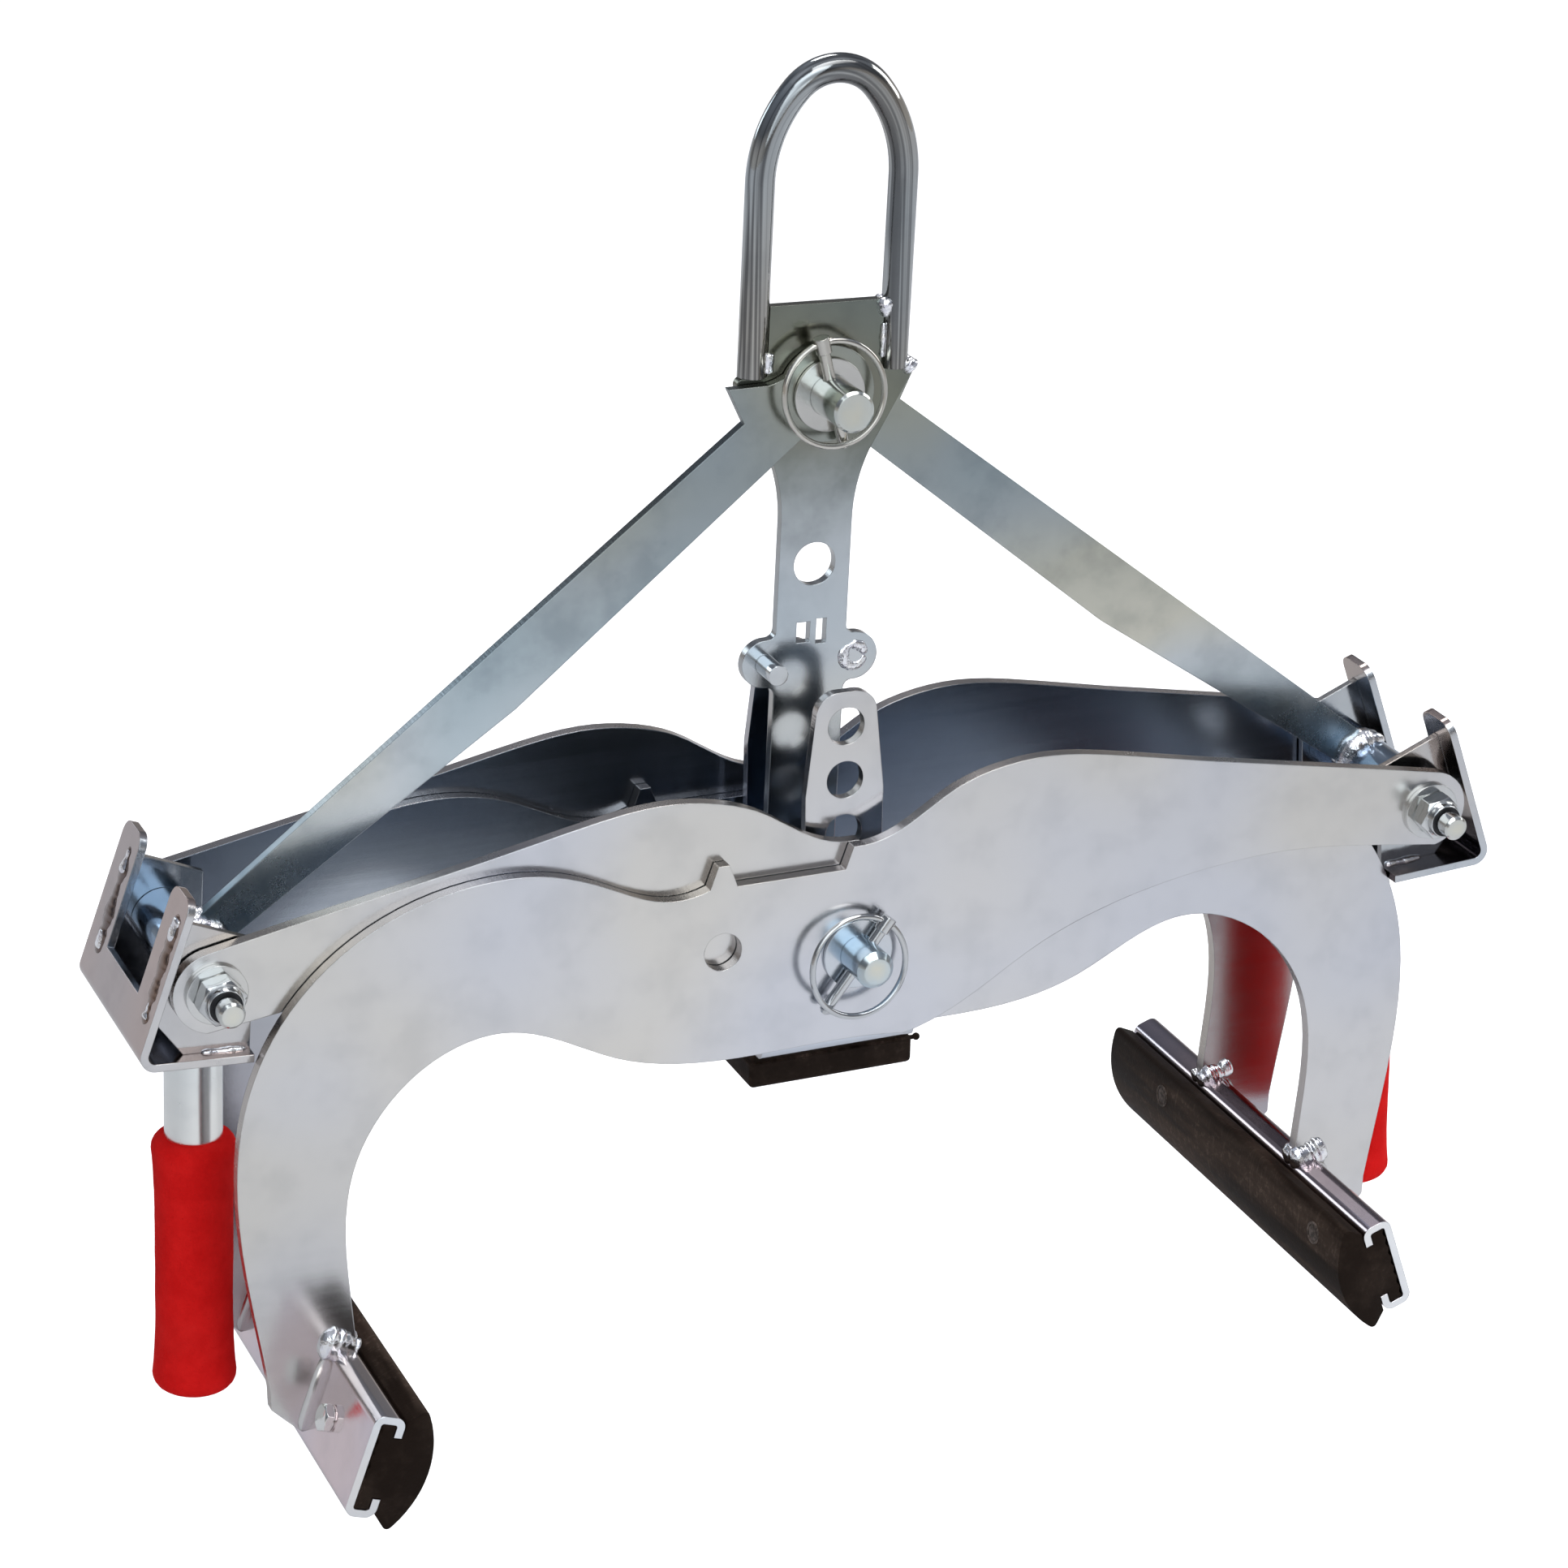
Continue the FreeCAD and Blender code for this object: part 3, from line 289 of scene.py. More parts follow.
def weld_bead(shape, points, width, rise, out, lump=0.3):
    """A bead of molten steel along points on a surface facing out, uneven as the hand moved."""
    line = [Vector(point) for point in points]
    spots = []
    for start, end in zip(line, line[1:]):
        count = max(2, round((end - start).length / bead_step))
        spots += [start.lerp(end, step / count) for step in range(count)]
    spots.append(line[-1])
    cap = None
    for index, spot in enumerate(spots):
        ahead = spots[min(index + 1, len(spots) - 1)] - spots[max(index - 1, 0)]
        side = ahead.cross(out).normalized()
        hand = 1 + lump * noise.noise(spot * 170) + lump * 0.4 * noise.noise(spot * 520)
        share = index / (len(spots) - 1)
        ends = math.sqrt(max(0.0, 1 - abs(2 * share - 1) ** 6))
        reach = max(width * hand * ends, width * 0.08)
        if cap is None:
            ring = bmesh.ops.create_circle(shape, cap_ends=True, segments=bead_sides, radius=width)
            cap = ring["verts"][0].link_faces[0]
        else:
            cap = bmesh.ops.extrude_discrete_faces(shape, faces=[cap])["faces"][0]
        for number, corner in enumerate(list(cap.verts)):
            turn = 2 * math.pi * number / bead_sides
            corner.co = spot + side * (math.cos(turn) * reach) + out * (math.sin(turn) * reach * rise)


weld_blue = (0.66, 0.65, 0.72)
weld_white = (0.9, 0.91, 0.94)
weld_grey = (0.82, 0.81, 0.8)
weld_made, weld_shader, weld_place = new_finish("weld_zinc")
weld_shader.inputs["Metallic"].default_value = 1
weld_colour = weld_place.noise(300, 3).banded([(0.3, weld_blue), (0.5, weld_white), (0.7, weld_grey)])
weld_colour.feed(weld_shader, "Base Color")
(0.1 + weld_place.noise(700, 2) * 0.16).feed(weld_shader, "Roughness")
weld_lumps = weld_place.noise(520, 2) + weld_place.noise(1900, 1) * 0.3
weld_lumps.raise_surface(weld_shader, 0.5, 0.0006)


def piece(name, shape, body, finish, crease, turned=False):
    """Makes the finished mesh an object that rides on a body.
    A turned piece goes half round the tongs first, to the side across from where it was shaped."""
    if turned:
        bmesh.ops.transform(shape, matrix=half_turn, verts=shape.verts)
    bmesh.ops.remove_doubles(shape, verts=shape.verts, dist=0.000001)
    bmesh.ops.holes_fill(shape, edges=shape.edges[:], sides=0)
    bmesh.ops.recalc_face_normals(shape, faces=shape.faces)
    mesh = bpy.data.meshes.new(name)
    shape.to_mesh(mesh)
    shape.free()
    for face in mesh.polygons:
        face.use_smooth = True
    mesh.set_sharp_from_angle(angle=math.radians(crease))
    made = bpy.data.objects.new(name, mesh)
    scene.collection.objects.link(made)
    made.data.materials.append(finish)
    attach(made, body)
    return made


weld_crease = 70
leg_bead = ((0.0115, 0.0002), (-0.0055, -0.0012))
leg_bead_width = 0.0056
heel_bead = ((-0.0004, 0.004), (-0.0004, 0.036))
heel_bead_width = 0.003
for side, body in (("left", "arm_a"), ("right", "arm_b")):
    shape = bmesh.new()
    heel = bmesh.new()
    for along in leg_faces:
        out = Vector((0, -1 if along in leg_faces[::2] else 1, 0))
        weld_bead(shape, [at_jaw(*spot, along) for spot in leg_bead], leg_bead_width, 0.6, out, 0.55)
        weld_bead(heel, [at_jaw(*spot, along) for spot in heel_bead], heel_bead_width, 0.35, out, 0.03)
    turned = side == "right"
    piece(side + "_jaw_welds", shape, body, weld_made, weld_crease, turned)
    piece(side + "_heel_welds", heel, body, arm_zinc, weld_crease, turned)


# Jaw bolts: hexagon bolts of 6 mm that hold the rubbers in the channels. Each head is forged
# with a chamfered crown and a round washer face below, and is plated with zinc.
def hexagon_reach(turn, flats):
    sector = (turn + math.pi / 6) % (math.pi / 3) - math.pi / 6
    return flats / 2 / math.cos(sector)


hexagon_steps = 72
chamfer_slope = math.tan(math.radians(30))


def turned_rings(shape, rings, matrix, cap=None):
    """Stacks rings up Z, each given as a reach and a height of the turn, on a cap if there is one."""
    turns = [2 * math.pi * number / hexagon_steps for number in range(hexagon_steps)]
    for reach, height in rings:
        if cap is None:
            ring = bmesh.ops.create_circle(shape, cap_ends=True, segments=hexagon_steps, radius=1)
            cap = ring["verts"][0].link_faces[0]
        else:
            cap = bmesh.ops.extrude_discrete_faces(shape, faces=[cap])["faces"][0]
        for corner, turn in zip(list(cap.verts), turns):
            distance = reach(turn)
            spot = Vector((math.cos(turn) * distance, math.sin(turn) * distance, height(turn)))
            corner.co = matrix @ spot
    return cap


def round_ring(reach, height):
    return (lambda turn: reach), (lambda turn: height)


def hexagon_ring(flats, height, way):
    """A ring on the flats, bent along its corners by the chamfer; way is 1 below and -1 above."""
    start = flats / 2 * 0.985

    def bend(turn):
        return height + way * max(0.0, hexagon_reach(turn, flats) - start) * chamfer_slope

    return (lambda turn: hexagon_reach(turn, flats)), bend


def stood(seat, way):
    """Where a turned shape stands on a seat, with its Z along a way."""
    return Matrix.Translation(seat) @ way.to_track_quat("Z", "Y").to_matrix().to_4x4()


bolt_flats = 0.01
bolt_head = 0.004
bolt_shank = 0.003
bolt_depth = 0.0095
bolt_spacing = 0.128
washer_face = 0.0007
hexagon_crease = 25
channel_web = 0.0414
bolt_zinc = zinc("bolt_zinc", ((0.82, 0.88, 0.93), (0.88, 0.91, 0.94), (0.86, 0.86, 0.84)), 0.1,
                 (400, 400, 400), cut=None)
for side, body in (("left", "arm_a"), ("right", "arm_b")):
    shape = bmesh.new()
    for end in (-1, 1):
        seat = at_jaw(0, channel_web / 2, end * bolt_spacing / 2)
        rings = [round_ring(bolt_shank, -bolt_depth), round_ring(bolt_shank, 0),
                 round_ring(bolt_flats * 0.5, 0.0001), round_ring(bolt_flats * 0.5, washer_face - 0.0001),
                 round_ring(bolt_flats * 0.48, washer_face), hexagon_ring(bolt_flats, washer_face, 0),
                 hexagon_ring(bolt_flats, bolt_head - 0.0003, -1),
                 round_ring(bolt_flats * 0.46, bolt_head - 0.00005),
                 round_ring(bolt_flats * 0.4, bolt_head), round_ring(bolt_flats * 0.2, bolt_head)]
        turned_rings(shape, rings, stood(seat, -jaw_in))
    bolts = piece(side + "_hexagon_bolts", shape, body, bolt_zinc, hexagon_crease,
                  side == "right")
    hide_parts(side + "_jaw_bolts")


# Jaw rubbers: long moulded strips of black rubber with a crowned gripping face. A ribbed T foot
# slides into the channel behind its lips, and two small round plugs stand near its upper edge.
rubber_half_length = 0.1
rubber_back = 0.0033
rubber_step = 0.0092
rubber_seat = 0.0128
rubber_edge = 0.019
rubber_crown = 0.0279
foot_half = 0.0174
neck_half = 0.0124
seat_half = 0.0195
face_half = 0.02555
rubber_round_lip = 0.0023
rib_count = 7
rib_depth = 0.0009
crown_steps = 16
rubber_rim = 0.0005
rubber_crease = 35
plug_rise = 0.0155
plug_sink = 0.0006
plug_places = (-0.052, 0.079)
plug_profile = ((0.0046, -0.001), (0.0046, 0.0007), (0.0042, 0.0009), (0.0038, 0.0007),
                (0.0036, 0.0004), (0.0032, 0.0006), (0.0015, 0.0008))
plug_bound = 0.005
rubber_black = (0.011, 0.0055, 0.003, 1)
stone_dust = (0.14, 0.098, 0.076, 1)
scuff_brown = (0.12, 0.085, 0.064, 1)
rubber_made, rubber_shader, rubber_place = new_finish("jaw_rubber")
smear = rubber_place.stretched((46, 7, 46)).noise(1, 4, 0.62).ramp(0.43, 0.68)
rubber_end = rubber_place.add("ShaderNodeTexCoord", out="Normal").part("Y")
smear = smear * (1 - 0.75 * rubber_end.unsigned().ramp(0.5, 0.9))
dust = rubber_place.noise(420, 3, 0.7).ramp(0.5, 0.78)
scuff = rubber_place.stretched((60, 700, 60)).noise(1, 2).ramp(0.6, 0.72)
rubber_colour = (smear * (0.45 + dust * 0.55)).mix(rubber_black, stone_dust)
rubber_colour = (scuff * smear * 0.5).mix(rubber_colour, scuff_brown)
rubber_colour.feed(rubber_shader, "Base Color")
(0.62 + smear * 0.22 - dust * 0.08).feed(rubber_shader, "Roughness")
rubber_shader.inputs["Specular IOR Level"].default_value = 0.1
rubber_height = rubber_place.noise(900, 3) * 0.6 + scuff * 0.25 + smear * 0.2
rubber_height.raise_surface(rubber_shader, 0.35, 0.0005, 0.0009)
plug_dark = (0.04, 0.03, 0.024, 1)
plug_pale = (0.13, 0.1, 0.085, 1)
plug_made, plug_shader, plug_place = new_finish("plug_rubber")
plug_place.noise(700, 3).ramp(0.35, 0.7).mix(plug_dark, plug_pale).feed(plug_shader, "Base Color")
(0.5 + plug_place.noise(900, 2) * 0.25).feed(plug_shader, "Roughness")
plug_shader.inputs["Specular IOR Level"].default_value = 0.2


def round_edges(shape, edges, reach, steps):
    bmesh.ops.bevel(shape, geom=edges, offset=reach, offset_type="OFFSET", segments=steps, profile=0.5,
                    affect="EDGES", material=-1, clamp_overlap=True)


for side, body in (("left", "arm_a"), ("right", "arm_b")):
    middle = channel_web / 2
    crown_rise = rubber_crown - rubber_edge
    crown_radius = (face_half ** 2 + crown_rise ** 2) / (2 * crown_rise)
    sweep = math.asin(face_half / crown_radius)
    profile = [(rubber_seat, -seat_half), (rubber_seat, -neck_half), (rubber_step, -neck_half),
               (rubber_step, -foot_half)]
    for rib in range(2 * rib_count + 1):
        groove = rib_depth if rib % 2 else 0
        profile.append((rubber_back + groove, foot_half * (rib / rib_count - 1)))
    profile += [(rubber_step, foot_half), (rubber_step, neck_half), (rubber_seat, neck_half),
                (rubber_seat, seat_half)]
    for step in range(crown_steps + 1):
        turn = sweep * (1 - 2 * step / crown_steps)
        inward = rubber_crown - crown_radius * (1 - math.cos(turn))
        profile.append((inward, crown_radius * math.sin(turn)))
    shape = bmesh.new()
    corners = [at_jaw(inward, middle + down, -rubber_half_length) for inward, down in profile]
    end_face = shape.faces.new([shape.verts.new(corner) for corner in corners])
    pushed = bmesh.ops.extrude_face_region(shape, geom=[end_face])["geom"]
    bmesh.ops.translate(shape, verts=[item for item in pushed if isinstance(item, bmesh.types.BMVert)],
                        vec=(0, 2 * rubber_half_length, 0))
    lips = [at_jaw(rubber_edge, middle + face_half * way) for way in (-1, 1)]
    long_edges = [edge for edge in shape.edges if edge.calc_length() > rubber_half_length]
    lip_edges = [edge for edge in long_edges
                 if min((edge.verts[0].co - lip).xz.length for lip in lips) < 0.0001]
    round_edges(shape, lip_edges, rubber_round_lip, 5)
    rims = [edge for edge in shape.edges if abs(edge.verts[0].co.y - edge.verts[1].co.y) < 0.0001]
    round_edges(shape, rims, rubber_rim, 2)
    tip = math.asin(plug_rise / crown_radius)
    plug_in = rubber_crown - crown_radius * (1 - math.cos(tip)) - plug_sink
    plug_way = jaw_in * math.cos(tip) - jaw_down * math.sin(tip)
    for along in plug_places:
        seat = at_jaw(plug_in, middle - plug_rise, along)
        turned_rings(shape, [round_ring(*ring) for ring in plug_profile], stood(seat, plug_way))
        for face in shape.faces:
            if (face.calc_center_median() - seat).length < plug_bound:
                face.material_index = 1
    turned = side == "right"
    strip = piece(side + "_rubber_strip", shape, body, rubber_made, rubber_crease, turned)
    strip.data.materials.append(plug_made)
    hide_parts(side + "_jaw_rubber")


# End brackets: a steel strap bent to an L, slotted to leave two prongs, with two gussets let in.
# The gussets are welded through slots in the prongs, which leaves a long bead on the outside.
bracket_lean = math.radians(19.9)
bracket_level = math.radians(3.5)
bracket_corner = Vector((0.2804, 0, 0.1712))
bracket_plate = 0.003
upright_length = 0.0676
upright_way = Vector((-math.sin(bracket_lean), 0, math.cos(bracket_lean)))
upright_out = Vector((math.cos(bracket_lean), 0, math.sin(bracket_lean)))
flange_way = Vector((-math.cos(bracket_level), 0, -math.sin(bracket_level)))
flange_up = Vector((-math.sin(bracket_level), 0, math.cos(bracket_level)))
gusset_middles = (-0.0325, 0.0325)
gusset_half = 0.0015
# Painted shade: the upright's inward face is painted a little darker, and much darker low down by the
# flange; the cut edges are lightened and blued as a painted highlight.
bracket_zinc = zinc("bracket_zinc", ((0.45, 0.395, 0.39), (0.485, 0.395, 0.37), (0.5, 0.39, 0.345)), 0.17,
                    (260, 5, 260), cut="ends", cut_tint_and_sheen=(1.27, 1.55, 1.68),
                    facing_light_and_shade=[((0.85, 0.85, 0.8), "X", -0.05, -0.15, 0, 0.001),
                           ((0.2, 0.17, 0.19), "X", -0.05, -0.15, 0.198, 0.182)])
gusset_zinc = zinc("gusset_zinc", ((0.5, 0.54, 0.57), (0.56, 0.56, 0.57), (0.6, 0.56, 0.52)), 0.13,
                   (260, 5, 260))
slot_zinc = zinc("slot_zinc", ((0.2, 0.16, 0.15), (0.25, 0.18, 0.15), (0.3, 0.2, 0.14)), 0.2,
                 (200, 200, 200), cut=None)
for side in ("left", "right"):
    dress(bracket_zinc, side + "_end_bracket")
    dress(gusset_zinc, side + "_gusset_front", side + "_gusset_rear")
seam_start = upright_length * 0.28
seam_end = upright_length * 0.86
seam_past = 0.002
seam_width = 0.0035
seam_lumps = ((seam_start, seam_start + 0.008, 0.0026), (seam_end - 0.009, seam_end + 0.001, 0.0028))
flange_bead = (0.026, 0.043)
flange_bead_width = 0.0016
for side, body in (("left", "arm_b"), ("right", "arm_a")):
    shape = bmesh.new()
    seam = bmesh.new()
    for middle in gusset_middles:
        corner = bracket_corner + Vector((0, middle, 0))
        ends = [corner + upright_way * rise for rise in (seam_start - seam_past, seam_end + seam_past)]
        weld_bead(seam, ends, seam_width, 0.24, upright_out, 0.55)
        for start, end, width in seam_lumps:
            ends = [corner + upright_way * rise for rise in (start, end)]
            weld_bead(shape, ends, width, 0.4, upright_out, 0.7)
        for edge in (-gusset_half, gusset_half):
            root = corner + flange_up * bracket_plate + Vector((0, edge, 0))
            ends = [root + flange_way * reach for reach in flange_bead]
            weld_bead(shape, ends, flange_bead_width, 0.9, flange_up, 0.3)
    turned = side == "left"
    piece(side + "_bracket_welds", shape, body, weld_made, weld_crease, turned)
    piece(side + "_prong_seams", seam, body, slot_zinc, weld_crease, turned)


# Handle tubes: drawn steel tube of 22 mm, plated with zinc and welded under the bracket's flange
# with one bead all round. Drawing leaves straight lines along the tube.
tube_reach = 0.011
tube_inset = 0.03382
tube_forward = 0.00275
tube_seat = bracket_corner + flange_way * tube_inset - Vector((0, tube_forward, 0))
tube_zinc = zinc("tube_zinc", ((0.84, 0.87, 0.86), (0.89, 0.89, 0.86), (0.86, 0.84, 0.78)), 0.24,
                 (500, 500, 6), 0.2, cut=None)
dress(tube_zinc, "left_handle_tube", "right_handle_tube")
tube_weld_width = 0.0019
tube_weld_steps = 40
for side, body in (("left", "arm_b"), ("right", "arm_a")):
    shape = bmesh.new()
    circle = []
    for step in range(tube_weld_steps + 1):
        turn = 2 * math.pi * step / tube_weld_steps
        circle.append(tube_seat + flange_way * (math.cos(turn) * tube_reach)
                      + Vector((0, math.sin(turn) * tube_reach, 0)))
    weld_bead(shape, circle, tube_weld_width, 0.9, -flange_up, 0.3)
    piece(side + "_tube_weld", shape, body, weld_made, weld_crease, side == "left")


# Hand grips: sleeves of red foam rubber pushed on the tubes. The foam has a fine open grain, a
# slight waist where a hand closes and a soft round lip at each end.
grip_reach = 0.0162
grip_waist = 0.0013
grip_lip = 0.0052
grip_length = 0.106
grip_bore = 0.01115
grip_mouth = 0.0008
grip_end_ring = 0.006
grip_lean = math.radians(1.7)
grip_swell = 0.00022
grip_grain = 0.00012
grip_steps = 96
grip_rows = 26
lip_rows = 6
foam_crease = 60
foam_dark = (0.8, 0.0095, 0.0095, 1)
foam_light = (0.92, 0.0155, 0.0145, 1)
foam_pore = (0.46, 0.0036, 0.0048, 1)
foam_worn = (0.9, 0.032, 0.026, 1)
foam_made, foam_shader, foam_place = new_finish("red_foam")
pore = foam_place.noise(1300, 3, 0.7)
blotch = foam_place.noise(90, 4, 0.6)
worn = foam_place.noise(28, 3)
foam_colour = blotch.ramp(0.3, 0.72).mix(foam_dark, foam_light)
foam_colour = (pore.ramp(0.6, 0.78) * 0.55).mix(foam_colour, foam_pore)
foam_colour = (worn.ramp(0.55, 0.75) * 0.25).mix(foam_colour, foam_worn)
foam_colour.feed(foam_shader, "Base Color")
(0.72 + pore * 0.2).feed(foam_shader, "Roughness")
foam_shader.inputs["Specular IOR Level"].default_value = 0.06
(pore + blotch * 0.5).raise_surface(foam_shader, 0.55, 0.0006)
for side, body, way in (("left", "arm_b", -1), ("right", "arm_a", 1)):
    low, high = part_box(side + "_grip")
    half = grip_length / 2
    profile = [(grip_bore, half - 5 * grip_mouth), (grip_bore, half - 1.5 * grip_mouth),
               (grip_bore + grip_mouth, half)]
    turns = [math.pi / 2 * step / lip_rows for step in range(lip_rows + 1)]
    for turn in turns:
        profile.append((grip_reach - grip_lip * (1 - math.sin(turn)),
                        half - grip_lip * (1 - math.cos(turn))))
    for step in range(1, grip_rows):
        share = 2 * step / grip_rows - 1
        profile.append((grip_reach - grip_waist * (1 - share ** 4), -share * (half - grip_lip)))
    for turn in turns:
        profile.append((grip_reach - grip_lip * (1 - math.cos(turn)),
                        grip_lip * (1 - math.sin(turn)) - half))
    profile += [(grip_end_ring, -half), (0, -half)]
    shape = bmesh.new()
    line = [shape.verts.new((reach, 0, height)) for reach, height in profile]
    edges = [shape.edges.new(pair) for pair in zip(line, line[1:])]
    bmesh.ops.spin(shape, geom=line + edges, cent=(0, 0, 0), axis=(0, 0, 1), angle=2 * math.pi,
                   steps=grip_steps, use_merge=True)
    stand = Matrix.Translation((low + high) / 2) @ Matrix.Rotation(-way * grip_lean, 4, "Y")
    bmesh.ops.transform(shape, matrix=stand, verts=shape.verts)
    for vert in shape.verts:
        swell = noise.noise(vert.co * 70) * grip_swell
        pull = swell + noise.noise(vert.co * 420) * grip_grain - grip_swell
        aside = vert.co - stand.translation
        vert.co += (stand.to_3x3() @ Vector((aside.x, aside.y, 0))).normalized() * pull
    grip = piece(side + "_foam_grip", shape, body, foam_made, foam_crease)
    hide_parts(side + "_grip")


# End axles: studs of 10 mm with a washer and a self-locking nut on each end. The nut has a
# chamfered hexagon and a rolled collar that grips a black nylon ring.
axle_place = Vector((0.2493, 0, 0.1983))
stud_beige = (0.74, 0.72, 0.6, 1)
stud_nose = 0.0075
stud_marks = [((axle_place.x, -0.0665, axle_place.z), stud_nose, stud_beige),
              ((-axle_place.x, -0.061, axle_place.z), stud_nose, stud_beige)]
stud_zinc = zinc("stud_zinc", ((0.54, 0.585, 0.635), (0.59, 0.615, 0.635), (0.6, 0.605, 0.59)), 0.11,
                 (300, 20, 300), cut=None, marks=stud_marks)
washer_zinc = zinc("washer_zinc", ((0.58, 0.62, 0.67), (0.63, 0.645, 0.65), (0.62, 0.61, 0.58)), 0.2,
                   (380, 40, 380), cut=None)
nylon_black = (0.008, 0.008, 0.01, 1)
nylon_grey = (0.02, 0.02, 0.024, 1)
nylon_made, nylon_shader, nylon_place = new_finish("black_nylon")
nylon_place.noise(500, 2).ramp(0.3, 0.8).mix(nylon_black, nylon_grey).feed(nylon_shader, "Base Color")
(0.4 + nylon_place.noise(800, 2) * 0.2).feed(nylon_shader, "Roughness")
nut_turn = math.radians(11)
nut_flats = 0.016
nut_height = 0.008
collar_reach = 0.0072
collar_height = 0.011
axle_reach = 0.005
collar_profile = ((collar_reach + 0.0002, nut_height),
                  (collar_reach - 0.0002, nut_height + 0.0006),
                  (collar_reach - 0.0003, collar_height - 0.0016),
                  (collar_reach - 0.0004, collar_height - 0.0008),
                  (collar_reach - 0.0006, collar_height - 0.0002),
                  (collar_reach - 0.0008, collar_height),
                  (axle_reach + 0.0012, collar_height))
nylon_profile = ((axle_reach + 0.0011, collar_height - 0.0006), (axle_reach, collar_height - 0.0008))
for side, body in (("left", "arm_b"), ("right", "arm_a")):
    dress(stud_zinc, side + "_axle_stud")
    dress(washer_zinc, side + "_axle_washer_front", side + "_axle_washer_rear")
    for end, way in (("front", -1), ("rear", 1)):
        low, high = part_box(side + "_axle_nut_" + end)
        seat = (low + high) / 2
        seat.y = high.y if way < 0 else low.y
        turn = Vector((0, way, 0)).to_track_quat("Z", "X").to_matrix().to_4x4()
        stand = Matrix.Translation(seat) @ turn @ Matrix.Rotation(nut_turn, 4, "Z")
        rings = [round_ring(nut_flats * 0.47, 0), round_ring(nut_flats * 0.485, 0.0003),
                 hexagon_ring(nut_flats, 0.0004, 1), hexagon_ring(nut_flats, nut_height - 0.0002, -1),
                 round_ring(nut_flats * 0.485, nut_height)]
        rings += [round_ring(*ring) for ring in collar_profile]
        shape = bmesh.new()
        cap = turned_rings(shape, rings, stand)
        for ring in nylon_profile:
            cap = turned_rings(shape, [round_ring(*ring)], stand, cap)
            for edge in cap.edges:
                for face in edge.link_faces:
                    face.material_index = 1
        nut = piece(side + "_lock_nut_" + end, shape, body, stud_zinc, hexagon_crease)
        nut.data.materials.append(nylon_made)
        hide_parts(side + "_axle_nut_" + end)


# Links: flat steel bars that draw the arms together, hung on the top pin. Each ends in a turned
# bush that runs on an end axle, welded round the end of the bar with a heavy shiny bead.
# Painted shade: each link darkens to navy round its bush, and the links darken towards the top.
painted_navy_shade = (0.13, 0.2, 0.26, 1)
navy_shade_reach = 0.085
link_shade_marks = [((0.24, 0.0045, 0.205), navy_shade_reach, painted_navy_shade),
              ((-0.24, -0.0045, 0.205), navy_shade_reach, painted_navy_shade)]
link_zinc = zinc("link_zinc", ((0.5, 0.585, 0.63), (0.59, 0.63, 0.65), (0.665, 0.65, 0.565)), 0.2,
                 (14, 14, 60), 0.12, 0.5, marks=link_shade_marks, height_shade=((0.53, 0.565, 0.57), 0.24, 0.36),
                 cut_tint_and_sheen=(0.5, 0.51, 0.52))
# Painted shade: the bushes are coloured dark navy, darker than their zinc, for the shade and dark
# reflections round them.
bush_zinc_painted_shade = zinc("bush_zinc_painted_shade", ((0.22, 0.31, 0.43), (0.28, 0.36, 0.47), (0.36, 0.42, 0.48)), 0.14,
                 (200, 30, 200), cut=None)
link_faces = (0.0025, 0.0065)
bush_reach = 0.012
weld_start = math.radians(84)
weld_end = math.radians(172)
link_weld_steps = 16
link_weld_width = 0.0054
end_weld_width = 0.0046
end_weld_past = 0.003
for side in ("left", "right"):
    dress(link_zinc, side + "_link_plate")
    dress(bush_zinc_painted_shade, side + "_link_bush")
    shape = bmesh.new()
    for along, out in zip(link_faces, (Vector((0, -1, 0)), Vector((0, 1, 0)))):
        sweep = []
        for step in range(link_weld_steps + 1):
            turn = weld_start + (weld_end - weld_start) * step / link_weld_steps
            rim = Vector((math.cos(turn) * bush_reach, along, math.sin(turn) * bush_reach))
            sweep.append(axle_place + rim)
        weld_bead(shape, sweep, link_weld_width, 0.9, out, 0.4)
    for turn in (weld_start, weld_end):
        out = Vector((math.cos(turn), 0, math.sin(turn)))
        rim = axle_place + out * bush_reach
        sides = (link_faces[0] - end_weld_past, link_faces[1] + end_weld_past)
        weld_bead(shape, [rim + Vector((0, along, 0)) for along in sides], end_weld_width, 0.7, out, 0.5)
    piece(side + "_bush_weld", shape, side + "_link", weld_made, weld_crease, side == "left")


# Hanger: one flat plate between the links with a bail of bent round bar welded to its shoulders
# and a short stud through each ear. It hangs a little to one side on the top pin.
top_pin = Vector((0, 0, 0.3864))
plate_half = 0.002
# Painted reflection: the brown halo round the top pin stands in for the pin and washer mirrored in the
# plate. Painted shade: the plate darkens towards its top.
pin_reflection_brown = (0.24, 0.19, 0.15, 1)
pin_reflection_reach = 0.03
hanger_zinc = zinc("hanger_zinc", ((0.48, 0.55, 0.6), (0.54, 0.58, 0.61), (0.62, 0.62, 0.58)), 0.16,
                   (60, 60, 7), 0.12, 0.4, height_shade=((0.36, 0.375, 0.325), 0.31, 0.38),
                   marks=[((0, -plate_half, top_pin.z), pin_reflection_reach, pin_reflection_brown)])
